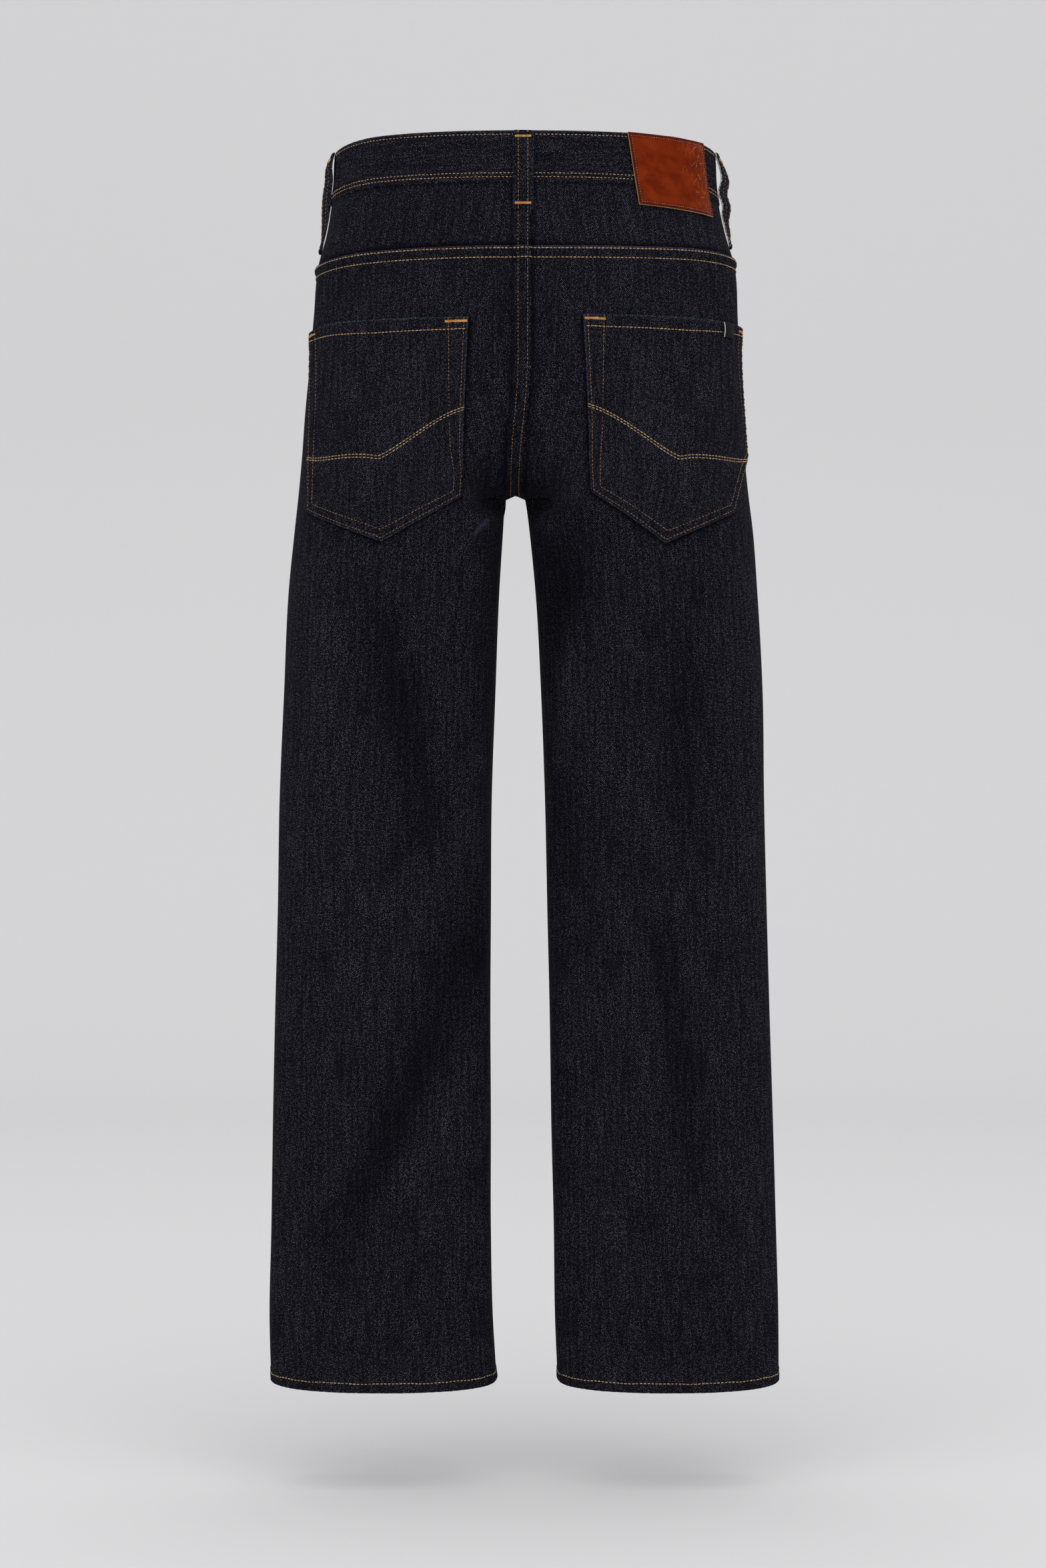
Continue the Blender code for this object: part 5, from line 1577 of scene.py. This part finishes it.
def patch_skin(p, q, lift):
    """Outer point and normal of the patch: p across from the inner edge, q down."""
    p, q = paired(p, q)
    z = PATCH_TOP - PATCH_SLANT * p - (PATCH_HEIGHT + PATCH_GAIN * p) * q
    distance = PATCH_START + PATCH_WIDTH * p + PATCH_LEAN * (q - 0.5)
    point, normal, _ = on_level(PATCH_SIDE, z, distance)
    return point + normal * (OVER_PANEL + PATCH_CLOTH + BAND_PROUD + lift)[..., None], normal


p, q = np.broadcast_arrays(even_with_edges(34, 0.07)[None, :], even_with_edges(28, 0.07)[:, None])
edge = np.minimum(np.minimum(p, 1 - p) * PATCH_WIDTH, np.minimum(q, 1 - q) * PATCH_HEIGHT)
dent = BORDER_DENT * bell(edge - PATCH_BORDER, 0.0010) + EDGE_DENT * ease((0.0012 - edge) / 0.0012)
border = bell(edge - PATCH_BORDER + 0.0008, 0.0010) + 0.55 * ease((0.0016 - edge) / 0.0016)
outer, normals = patch_skin(p, q, -dent)
PATCH = cloth_wall("patch_leather", outer, outer - normals * PATCH_CLOTH, border,
                   finishes=(LEATHER, LEATHER_EDGE), rim_finish=dict.fromkeys(EVERY_EDGE, 1))
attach(PATCH, "root")
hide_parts("leather_patch")
wide, long, _ = cut_size(outer)
print("patch", wide, "by", long, "m")

# %% [markdown]
# ## Woven tab
#
# A folded bit of black tape is caught under the hem of the right pocket's mouth. It is a plain
# ribbed weave, with a white thread along its inner edge.

# %% Black tape
TAB_INNER_X = 0.1763  # half widths that the tab stands between
TAB_OUTER_X = 0.1857
TAB_HEIGHT = 0.0125
TAB_RIB = 0.0006
TAPE_BLACK = "#08080a"
TAPE_PAINTED_SHEEN = "#1b1c21"
TAPE_WHITE = "#cfc9bd"


def black_tape():
    """Ribbed polyester tape, black with a painted sheen on its ribs and one white edge thread."""
    material, tree, shader = new_material("black_woven_tape", 0.6, 0.06)
    grain = add_node(tree, "ShaderNodeUVMap", uv_map="grain")
    edge = add_node(tree, "ShaderNodeAttribute", None, "Fac", attribute_name="wear_and_shade")
    ribs = add_node(tree, "ShaderNodeVectorMath", {0: grain, 1: (1 / TAB_RIB, 1 / TAB_RIB, 1)},
                    operation="MULTIPLY")
    rib = add_node(tree, "ShaderNodeTexWave", {"Vector": ribs, "Scale": 0.5, "Distortion": 0.3}, "Fac",
                   bands_direction="Y")
    # the ribs' lighter crests are painted sheen
    black, painted_sheen = linear(TAPE_BLACK), linear(TAPE_PAINTED_SHEEN)
    colour = add_node(tree, "ShaderNodeMix", {"Factor": rib, "A": black, "B": painted_sheen}, "Result",
                      data_type="RGBA")
    colour = add_node(tree, "ShaderNodeMix", {"Factor": edge, "A": colour, "B": linear(TAPE_WHITE)}, "Result",
                      data_type="RGBA")
    tree.links.new(colour, shader.inputs["Base Color"])
    bump = add_node(tree, "ShaderNodeBump", {"Strength": 0.5, "Distance": 0.0002, "Height": rib})
    tree.links.new(bump, shader.inputs["Normal"])
    return material


TAPE = black_tape()
print("tape ribs are", TAB_RIB * 1000, "mm apart")

# %% Placing the tab below the pocket's mouth
TAB_POCKET = POCKETS[1]
p, q = np.broadcast_arrays(np.linspace(0, 1, 19)[None, :], np.linspace(0, 1, 14)[:, None])
z = TAB_POCKET["mouth"] - SEAM_GAP - TAB_HEIGHT * q
distance = at_levels("right", z, TAB_INNER_X + (TAB_OUTER_X - TAB_INNER_X) * p)
point, normals, _ = on_level("right", z, distance)
bow = 0.0008 + 0.0009 * np.sin(np.pi * q) * ease((1 - p) / 0.6) + 0.0005 * np.sin(np.pi * p)
outer = point + normals * (POCKET_OUT + SEAM_GAP + TAB_CLOTH + bow)[..., None]
white_thread = 1.0 * (p > 0.01) * (p < 0.08)
TAB = cloth_wall("tab_tape", outer, outer - normals * TAB_CLOTH, white_thread, EVERY_EDGE,
                 finishes=(TAPE, TAPE))
lay(TAB, "pocket_tab")

# %% [markdown]
# ## Waist button
#
# The button is a pressed copper cap on a steel tack. Its solid already has the turned shape,
# so it only needs its metal: copper that has been antiqued, dark in its low places.

# %% Antiqued copper
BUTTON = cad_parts["waist_button"]
COPPER = mottled("antiqued_copper", 0.34, 0.0024, "#6b3d22", "#b8784a", 0.25, 1.0)
for slot in BUTTON.material_slots:
    slot.material = COPPER
print("button is finished in", COPPER.name)

# %% [markdown]
# ## Sewing thread
#
# Jeans are topstitched with a thick tan core-spun thread, at some seven stitches to the inch.
# It is about 0.6 mm across, and is drawn a little thicker so that it shows. A row is a dashed
# line of short raised bars whose ends dive into the cloth. A bartack is the same thread sewn
# back and forth until it makes a solid bar. Both repeat along a path, so one Geometry Nodes
# tree lays them: it samples a path at an even pitch and puts a bar at each sample, turned
# along the path and standing on the cloth.

# %% Thread
STITCH_PITCH = 0.0035
STITCH_LENGTH = 0.0027
BOLD_LENGTH = 0.0034  # rows sewn with a looser thread, whose stitches nearly touch
FINE_WIDE = 0.00056
THREAD_WIDE = 0.00072
BOLD_WIDE = 0.00082
BAR_SIDES = 6
BAR_RINGS = 5
BAR_DIVE = 0.9  # how far a stitch's ends turn down, in thread widths
BAR_TAPER = 0.55

# Spun cotton round a polyester core: matt, a little hairy, and mottled where it twists.
TAN_THREAD = mottled("tan_core_spun_thread", 0.6, 0.0030, "#85684a", "#c9aa7c", 0.4)
FINE_THREAD = mottled("fine_tan_thread", 0.6, 0.0038, "#5e472c", "#9d7b52", 0.4)
TACK_THREAD = mottled("golden_bartack_thread", 0.6, 0.0038, "#9a6a30", "#d09a52", 0.4)
PATCH_THREAD = mottled("brown_patch_thread", 0.6, 0.0038, "#7d4a3a", "#b98774", 0.4)


def stitch_bar(name):
    """A bar of thread one unit long, arched, with its ends turned down into the cloth."""
    points = []
    for ring in range(BAR_RINGS):
        t = ring / (BAR_RINGS - 1) * 2 - 1
        swell = (1 - BAR_TAPER * t**4) / 2
        for k in range(BAR_SIDES):
            angle = 2 * np.pi * k / BAR_SIDES
            points.append((t / 2, np.cos(angle) * swell, np.sin(angle) * swell - BAR_DIVE * t**4))
    faces = []
    for ring in range(BAR_RINGS - 1):
        for k in range(BAR_SIDES):
            a = ring * BAR_SIDES + k
            b = ring * BAR_SIDES + (k + 1) % BAR_SIDES
            faces.append((a, b, b + BAR_SIDES, a + BAR_SIDES))
    faces.append(tuple(range(BAR_SIDES))[::-1])
    faces.append(tuple(range((BAR_RINGS - 1) * BAR_SIDES, BAR_RINGS * BAR_SIDES)))
    mesh = bpy.data.meshes.new(name)
    mesh.from_pydata(points, [], faces)
    mesh.shade_smooth()
    return put_in_scene(name, mesh)


BAR = stitch_bar("stitch_bar_pattern")
print("one stitch has", len(BAR.data.polygons), "faces")

# %% The tree that lays stitches along paths
SWING = 0.10  # radians by which a stitch may lie askew
SHORTEST = 0.86  # share of its length that a stitch may have, at least and at most
LONGEST = 1.10


def sewing_tree():
    """Geometry Nodes: bars of thread at an even pitch along the edges of a mesh."""
    tree = bpy.data.node_groups.new("sew_along_path", "GeometryNodeTree")
    tree.interface.new_socket("Path", in_out="INPUT", socket_type="NodeSocketGeometry")
    sizes = (("Pitch", STITCH_PITCH), ("Length", STITCH_LENGTH), ("Width", THREAD_WIDE), ("Across", 0.0))
    for name, value in sizes:
        socket = tree.interface.new_socket(name, in_out="INPUT", socket_type="NodeSocketFloat")
        socket.default_value = value
    for name, kind in (("Bar", "Object"), ("Thread", "Material"), ("Seed", "Int")):
        tree.interface.new_socket(name, in_out="INPUT", socket_type="NodeSocket" + kind)
    tree.interface.new_socket("Stitches", in_out="OUTPUT", socket_type="NodeSocketGeometry")
    given = add_node(tree, "NodeGroupInput").node.outputs

    path = add_node(tree, "GeometryNodeMeshToCurve", {"Mesh": given["Path"]})
    spaced = add_node(tree, "GeometryNodeResampleCurve", {"Curve": path, "Length": given["Pitch"]},
                      mode="LENGTH")
    along = add_node(tree, "GeometryNodeInputTangent")
    upward = add_node(tree, "GeometryNodeInputNamedAttribute", {"Name": "stand"}, data_type="FLOAT_VECTOR")
    lying = add_node(tree, "FunctionNodeAlignRotationToVector", {"Vector": along}, axis="X")
    standing = add_node(tree, "FunctionNodeAlignRotationToVector", {"Rotation": lying, "Vector": upward},
                        axis="Z", pivot_axis="X")

    swing = add_node(tree, "FunctionNodeRandomValue", {2: -SWING, 3: SWING, "Seed": given["Seed"]}, 1,
                     data_type="FLOAT")
    swung = add_node(tree, "ShaderNodeMath", {0: swing, 1: given["Across"]}, operation="ADD")
    spin = add_node(tree, "FunctionNodeAxisAngleToRotation", {"Axis": (0, 0, 1), "Angle": swung})
    facing = add_node(tree, "FunctionNodeRotateRotation", {"Rotation": standing, "Rotate By": spin},
                      rotation_space="LOCAL")
    uneven = add_node(tree, "FunctionNodeRandomValue", {2: SHORTEST, 3: LONGEST, "Seed": given["Seed"]}, 1,
                      data_type="FLOAT")
    long = add_node(tree, "ShaderNodeMath", {0: uneven, 1: given["Length"]}, operation="MULTIPLY")
    size = add_node(tree, "ShaderNodeCombineXYZ", {"X": long, "Y": given["Width"], "Z": given["Width"]})

    bar = add_node(tree, "GeometryNodeObjectInfo", {"Object": given["Bar"]}, "Geometry")
    laid = add_node(tree, "GeometryNodeInstanceOnPoints",
                    {"Points": spaced, "Instance": bar, "Rotation": facing, "Scale": size})
    real = add_node(tree, "GeometryNodeRealizeInstances", {"Geometry": laid})
    dyed = add_node(tree, "GeometryNodeSetMaterial", {"Geometry": real, "Material": given["Thread"]})
    add_node(tree, "NodeGroupOutput", {"Stitches": dyed})
    return tree


SEWING = sewing_tree()
SOCKETS = {item.name: item.identifier for item in SEWING.interface.items_tree if item.in_out == "INPUT"}
print("sewing inputs:", ", ".join(SOCKETS))

# %% Sewing a set of rows
ROW_LIFT = 0.00012
SEWN = []  # triangles of each set


def path_of(name, rows):
    """A mesh of edges through the rows' points, which also keeps their normals."""
    edges = []
    for points, _ in rows:
        start = edges[-1][1] + 1 if edges else 0
        edges += [(start + k, start + k + 1) for k in range(len(points) - 1)]
    path = bpy.data.meshes.new(name + "_path")
    path.from_pydata(np.concatenate([points for points, _ in rows]), edges, [])
    stands = np.concatenate([normals for _, normals in rows])
    path.attributes.new("stand", "FLOAT_VECTOR", "POINT").data.foreach_set("vector", stands.ravel())
    return path


def sew(name, rows, thread, pitch=STITCH_PITCH, length=STITCH_LENGTH, width=THREAD_WIDE, across=0.0, seed=1):
    """Lays stitches along rows of (points, normals) and keeps them as one plain mesh."""
    thing = put_in_scene(name, path_of(name, rows))
    maker = thing.modifiers.new("sewing", "NODES")
    maker.node_group = SEWING
    given = {"Pitch": pitch, "Length": length, "Width": width, "Across": across,
             "Bar": BAR, "Thread": thread, "Seed": seed}
    for socket, value in given.items():
        maker[SOCKETS[socket]] = value
    bpy.context.view_layer.update()
    seen = thing.evaluated_get(bpy.context.evaluated_depsgraph_get())
    mesh = bpy.data.meshes.new_from_object(seen)
    thing.modifiers.remove(maker)
    thing.data = mesh
    mesh.name = name
    mesh.shade_smooth()
    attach(thing, "root")
    mesh.calc_loop_triangles()
    SEWN.append(len(mesh.loop_triangles))
    print(name, len(rows), "rows,", SEWN[-1], "triangles")


def lifted(point, normal, *_):
    """Points moved out a little along their normals, ready to sew along."""
    return point + normal * ROW_LIFT, normal


print("stitches lie", STITCH_PITCH * 1000, "mm apart")

# %% [markdown]
# ## Rows on the backs
#
# The double rows of the centre seam and the yoke lie some 8 mm apart, the outer one 2 mm from
# the fold. Each row is a list of points on the same skin as its panel, so it follows the
# folds and the lap without any fitting.

# %% Centre seam and yoke rows
CENTRE_ROWS = (0.0043, -0.0039)  # from the centre line, on the left half and on the right
CENTRE_ROWS_END = 1.985  # v at the crotch
YOKE_ROWS = (-0.0030, 0.0045)  # from the yoke seam line
YOKE_ROW_ENDS = {"left": -0.97, "right": 1.1}  # their starts, as shares of the lap past centre


def centre_row(offset, count=240):
    """A row down the centre back seam, offset to the left (+) or the right (-)."""
    v = np.linspace(BAND_ROW, CENTRE_ROWS_END, count)
    u = u_at_metres("left", offset, v)
    on_yoke = v < yoke_row("left", u) - row_of_depth(YOKE_LAP)
    below = lifted(*back_skin("left", u, v))
    point, normal, _ = round_ring("left", u, v)
    lift = SEAM_RIDGE * plateau(np.full(count, abs(offset)), SEAM_WIDE) + centre_lap("left", u, v)
    above = lifted(point + normal * lift[..., None], normal)
    return [np.where(on_yoke[:, None], upper, lower) for upper, lower in zip(above, below)]


centre_rows = [centre_row(offset) for offset in CENTRE_ROWS]
yoke_rows = []
for side in SIDES:
    fold = float(u_at_metres("right", SEAT_LAP, yoke_row("right", 0.0)))
    u = np.linspace(YOKE_ROW_ENDS[side] * fold, 0.996, 170)
    for offset in YOKE_ROWS:
        yoke_rows.append(lifted(*back_skin(side, u, yoke_row(side, u) + row_of_depth(offset))))
sew("stitches_centre_seam", centre_rows, FINE_THREAD, width=FINE_WIDE, seed=3)
sew("stitches_yoke", yoke_rows, TAN_THREAD, length=BOLD_LENGTH, width=BOLD_WIDE, seed=4)

# %% Hem rows, all the way round each leg


def hem_row(side):
    """One row round a leg, above the rolled hem, with the wander of a hand-guided seam."""
    u = np.linspace(0.002, 1.998, 420)
    wander = 0.00035 * np.sin(u * 37) + 0.0002 * np.sin(u * 83)
    v = np.full(u.shape, 3 - HEM_ROW / HEM_RUN) + wander
    back = back_skin(side, np.clip(u, 0, 1), v)
    front = front_skin(side, np.clip(u, 1, 2), v)
    behind = (u <= 1)[:, None]
    return lifted(*[np.where(behind, back[k], front[k]) for k in (0, 1)])


hem_rows = [hem_row(side) for side in SIDES]
sew("stitches_hems", hem_rows, TAN_THREAD, length=BOLD_LENGTH, width=BOLD_WIDE, seed=5)

# %% [markdown]
# ## Rows on the band, the pockets and the loops
#
# The band has one row under its top fold and a double row above its lower one. Each pocket
# has its rolled mouth's row, two rows round its edge, and a plain double line across it,
# which steps down from the centre back towards the hip in two easy curves.

# %% Band rows
BAND_TOP_ROW = 0.0028
BAND_LOW_ROWS = (0.0376, 0.0410)


def band_sewing(depth, count=400):
    """One row round the whole band at a depth below its top edge."""
    v = np.full((1, 1), float(row_of_depth(depth)))
    place = np.linspace(0, 1, count)
    u_left = np.interp(place, np.linspace(0, 1, len(BAND_LEFT_U)), BAND_LEFT_U)
    point, normal, _ = band_skin(u_left, 2 * place, v)
    return lifted(point[0], normal[0])


band_rows = [band_sewing(depth) for depth in (BAND_TOP_ROW, *BAND_LOW_ROWS)]
sew("stitches_band", band_rows, TAN_THREAD, seed=6)

# %% Pocket rows
POCKET_SIDE_TALL = 0.175  # from the mouth to the corner where a side meets the foot
POCKET_TIP_TALL = 0.183
POCKET_STEP = (POCKET_WIDE, 0.185)  # metres of cloth for one step of p and one of q
EDGE_PITCH = 0.0033
EDGE_ROW = 0.0027
INNER_ROW_TOP = 0.0155  # the inner row starts well in and closes up on the outer one
INNER_ROW = 0.0095
MOUTH_ROW_ENDS = {"left": (0.0112, 0.0090), "right": (0.0112, 0.0075)}
PLAIN_LINES_APART = 0.0024
PLAIN_LINE_TOP = 0.50  # shares of the depth: the line's start, and its two steps down
PLAIN_LINE_STEPS = (0.12, 0.08)


def on_pocket(pocket, p, q):
    """A row through many (p, q) places of a pocket."""
    return lifted(*pocket_skin(pocket, p, q, pocket_relief(pocket, p, q)))


def pocket_line(pocket, corners, count=220):
    """A row through (p, q) corners on a pocket, at even steps."""
    corners = np.array(corners)
    steps = np.linalg.norm(np.diff(corners * POCKET_STEP, axis=0), axis=1)
    reach = np.concatenate([[0], np.cumsum(steps)])
    at_step = np.linspace(0, reach[-1], count)
    p = np.interp(at_step, reach, corners[:, 0])
    q = np.interp(at_step, reach, corners[:, 1])
    return on_pocket(pocket, p, q)


def edge_line(pocket, inset_top, inset):
    """A row round the sides and the foot, inset from the pocket's edge."""
    top = inset_top / POCKET_WIDE
    low = inset / POCKET_WIDE
    foot = 1 - inset / POCKET_SIDE_TALL
    tip = 1 - inset / POCKET_TIP_TALL
    down = [(top, 0.006), (low, foot - 0.002), (low + 0.004, foot)]
    up = [(1 - p, q) for p, q in reversed(down)]
    return pocket_line(pocket, [*down, (pocket["tip_at"], tip), *up], 420)


def plain_line(pocket, drop):
    """One of the plain double lines: two easy steps down towards the hip."""
    inner = 0.3 * EDGE_ROW / POCKET_WIDE
    p = np.linspace(inner, 1 - inner, 220)
    half = pocket["tip_at"]
    first, second = PLAIN_LINE_STEPS
    q = PLAIN_LINE_TOP + first * ease(p / half) + second * ease((p - half) / (1 - half)) + drop
    return on_pocket(pocket, p, q)


edge_rows = []
bold_rows = []
for pocket in POCKETS:
    a = EDGE_ROW / POCKET_WIDE
    starts, ends = [depth / POCKET_SIDE_TALL for depth in MOUTH_ROW_ENDS[pocket["side"]]]
    bold_rows.append(pocket_line(pocket, [(a, starts), (1 - a, ends)], 160))
    bold_rows += [plain_line(pocket, drop / POCKET_SIDE_TALL) for drop in (0.0, PLAIN_LINES_APART)]
    edge_rows += [edge_line(pocket, EDGE_ROW, EDGE_ROW), edge_line(pocket, INNER_ROW_TOP, INNER_ROW)]
sew("stitches_pocket_edges", edge_rows, FINE_THREAD, pitch=EDGE_PITCH, width=FINE_WIDE, seed=7)
sew("stitches_pocket_lines", bold_rows, TAN_THREAD, length=BOLD_LENGTH, width=BOLD_WIDE, seed=12)

# %% Loop rows
LOOP_ROW = 0.44  # share of half the loop's width


def loop_line(loop, from_middle, to_middle, start, end, count):
    """A row on a loop, between two places across it and two down it."""
    across = np.linspace(from_middle, to_middle, count)
    down = np.linspace(start, end, count)
    return lifted(*loop_skin(loop, across, down, LOOP_CLOTH + 0 * down))


loop_rows = []
for loop in LOOPS:
    loop_rows += [loop_line(loop, across, across, 0.01, 0.99, 60) for across in (-LOOP_ROW, LOOP_ROW)]
sew("stitches_loops", loop_rows, FINE_THREAD, width=FINE_WIDE, seed=8)

# %% Bartacks at the loops' ends and the pockets' corners
TACK_PITCH = 0.00042
TACK_WIDE = 0.0028
TACK_THREAD_WIDE = 0.0006
TACK_REACH = 0.77  # share of the loop's width
LOOP_TACKS = (0.07, 0.93)  # shares of the loop's length
INNER_TACK_LONG = {"left": 0.0180, "right": 0.0165}
OUTER_TACK_LONG = 0.0160
INNER_TACK_Q = 0.020
OUTER_TACK_Q = 0.022
TACK_START = 0.1 * EDGE_ROW

tacks = [loop_line(loop, -TACK_REACH, TACK_REACH, down, down, 12) for loop in LOOPS for down in LOOP_TACKS]
for pocket in POCKETS:
    start = TACK_START / POCKET_WIDE
    inner_end = INNER_TACK_LONG[pocket["side"]] / POCKET_WIDE
    outer_end = OUTER_TACK_LONG / POCKET_WIDE
    tacks.append(pocket_line(pocket, [(start, INNER_TACK_Q), (inner_end, INNER_TACK_Q)], 12))
    tacks.append(pocket_line(pocket, [(1 - outer_end, OUTER_TACK_Q), (1 - start, OUTER_TACK_Q)], 12))
sew("bartacks", tacks, TACK_THREAD, pitch=TACK_PITCH, length=TACK_WIDE, width=TACK_THREAD_WIDE,
    across=np.pi / 2, seed=9)

# %% The patch's border row
PATCH_PITCH = 0.0024
PATCH_STITCH = 0.0019
PATCH_THREAD_WIDE = 0.00055
PATCH_ROW_SINK = 0.0003

across = PATCH_BORDER / PATCH_WIDTH
down = PATCH_BORDER / PATCH_HEIGHT
p_corners = [across, 1 - across, 1 - across, across, across]
q_corners = [down, down, 1 - down, 1 - down, down]
place = np.linspace(0, 4, 201)
p = np.interp(place, np.arange(5), p_corners)
q = np.interp(place, np.arange(5), q_corners)
border_row = patch_skin(p, q, np.full(p.shape, -PATCH_ROW_SINK))
sew("stitches_patch", [border_row], PATCH_THREAD, pitch=PATCH_PITCH, length=PATCH_STITCH,
    width=PATCH_THREAD_WIDE, seed=10)

# %% Front rows: pocket mouths, fly and button end
MOUTH_ROWS = (0.0022, 0.0085)  # from the scoop's edge
FLY_ROWS = (0.036, 0.030)  # from the left front's edge
FLY_ROW_END = 0.002
FLY_BEND_FROM = 0.62  # share of the row that runs straight down
FLY_ROUND = 0.135  # metres round the front for one step of u, near the fly
EDGE_ROW_U = 1.985


def mouth_row(side, inset):
    """A row round the pocket scoop of a front."""
    down = np.sin(np.linspace(0.02, 0.99, 120) * np.pi / 2)
    v = BAND_ROW + (MOUTH_ROW - BAND_ROW) * down
    return lifted(*front_skin(side, mouth_edge(v) + inset / HALF_ROUND, v))


def fly_row(inset):
    """The fly's hooked row: straight down, then round to the centre."""
    t = np.linspace(0, 1, 140)
    left_over = 1 - FLY_BEND_FROM
    bend = np.clip((t - FLY_BEND_FROM) / left_over, 0, 1) * np.pi / 2
    reach = FLY_ROW_END + (inset - FLY_ROW_END) * np.cos(bend) ** 0.8
    tall = float(row_of_depth(FLY_DEPTH * 0.94)) - BAND_ROW
    v = BAND_ROW + 0.01 + tall * (np.minimum(t, FLY_BEND_FROM) + left_over * np.sin(bend))
    return lifted(*front_skin("left", 2 - reach / FLY_ROUND, v))


front_rows = [mouth_row(side, inset) for side in SIDES for inset in MOUTH_ROWS]
front_rows += [fly_row(inset) for inset in FLY_ROWS]
edge_v = np.linspace(BAND_ROW + 0.01, FLY_FOOT_ROW * 0.93, 90)
front_rows.append(lifted(*front_skin("left", np.full(90, EDGE_ROW_U), edge_v)))
sew("stitches_front", front_rows, TAN_THREAD, seed=11)

bpy.data.objects.remove(BAR, do_unlink=True)
print(sum(SEWN), "triangles of thread")

# %% [markdown]
# ## Studio
#
# The jeans float in front of a pale seamless paper, filled out as worn. One broad soft light
# hangs overhead and in front of the back, and the paper and two weak side lights fill the
# shadows. The camera looks level at the middle of the pair with a long lens.

# %% Paper, lights and camera
FLOOR_Z = -1.210
PAPER_BACK = -5.0
PAPER_WIDE = 14.0
PAPER_FRONT = 6.0
PAPER_TALL = 5.0
PAPER_BEND = 1.6
LIGHT_AIM = (0.0, 0.0, -0.6)
LIGHTS = (  # name, place, side of the soft square, power
    ("overhead", (0.0, 1.5, 2.2), 4.4, 30.0),
    ("left_fill", (2.6, 2.6, 0.1), 1.8, 7.0),
    ("right_fill", (-2.6, 2.6, 0.1), 1.8, 7.0),
)
AIR_STRENGTH = 0.95
SENSOR_WIDE = 36.0
CAMERA_AWAY = 3.0
CAMERA_Z = -0.573
FRAME_TALL = 1.4341  # metres of height that the view takes in at the origin


def seamless_paper():
    """Pale grey paper: floor, a round bend and a wall."""
    bend = [(PAPER_BACK + PAPER_BEND * (1 - np.sin(t)), FLOOR_Z + PAPER_BEND * (1 - np.cos(t)))
            for t in np.linspace(0, np.pi / 2, 24)]
    path = [(PAPER_FRONT, FLOOR_Z), (PAPER_BACK + PAPER_BEND, FLOOR_Z), *bend[1:],
            (PAPER_BACK, FLOOR_Z + PAPER_TALL)]
    points = [(x, y, z) for x in (-PAPER_WIDE / 2, PAPER_WIDE / 2) for y, z in path]
    count = len(path)
    faces = [(k, k + 1, count + k + 1, count + k) for k in range(count - 1)]
    mesh = bpy.data.meshes.new("seamless_paper")
    mesh.from_pydata(points, [], faces)
    mesh.shade_smooth()
    material, _, shader = new_material("pale_paper", 0.95, 0.1)
    shader.inputs["Base Color"].default_value = linear("#e2e1e1")
    mesh.materials.append(material)
    return put_in_scene("seamless_paper", mesh)


def area_light(name, where, size, power):
    """A soft square light at a place, turned towards the middle of the pair."""
    lamp = bpy.data.lights.new(name, "AREA")
    lamp.size = size
    lamp.energy = power
    thing = put_in_scene(name, lamp)
    thing.location = where
    direction = Vector(LIGHT_AIM) - Vector(where)
    thing.rotation_euler = direction.to_track_quat("-Z", "Y").to_euler()


PAPER = seamless_paper()
for light in LIGHTS:
    area_light(*light)

world = bpy.data.worlds.new("studio_air")
world.use_nodes = True
air = world.node_tree.nodes["Background"]
air.inputs["Color"].default_value = linear("#f4f5f7")
air.inputs["Strength"].default_value = AIR_STRENGTH
bpy.context.scene.world = world
bpy.context.scene.view_settings.view_transform = "Standard"

lens = bpy.data.cameras.new("camera")
lens.sensor_fit = "AUTO"
lens.sensor_width = SENSOR_WIDE
lens.lens = SENSOR_WIDE * CAMERA_AWAY / FRAME_TALL
camera = put_in_scene("camera", lens)
camera.location = (0.0, CAMERA_AWAY, CAMERA_Z)
camera.rotation_euler = (np.pi / 2, 0.0, np.pi)
bpy.context.scene.camera = camera
print("lens", round(lens.lens, 1), "mm")
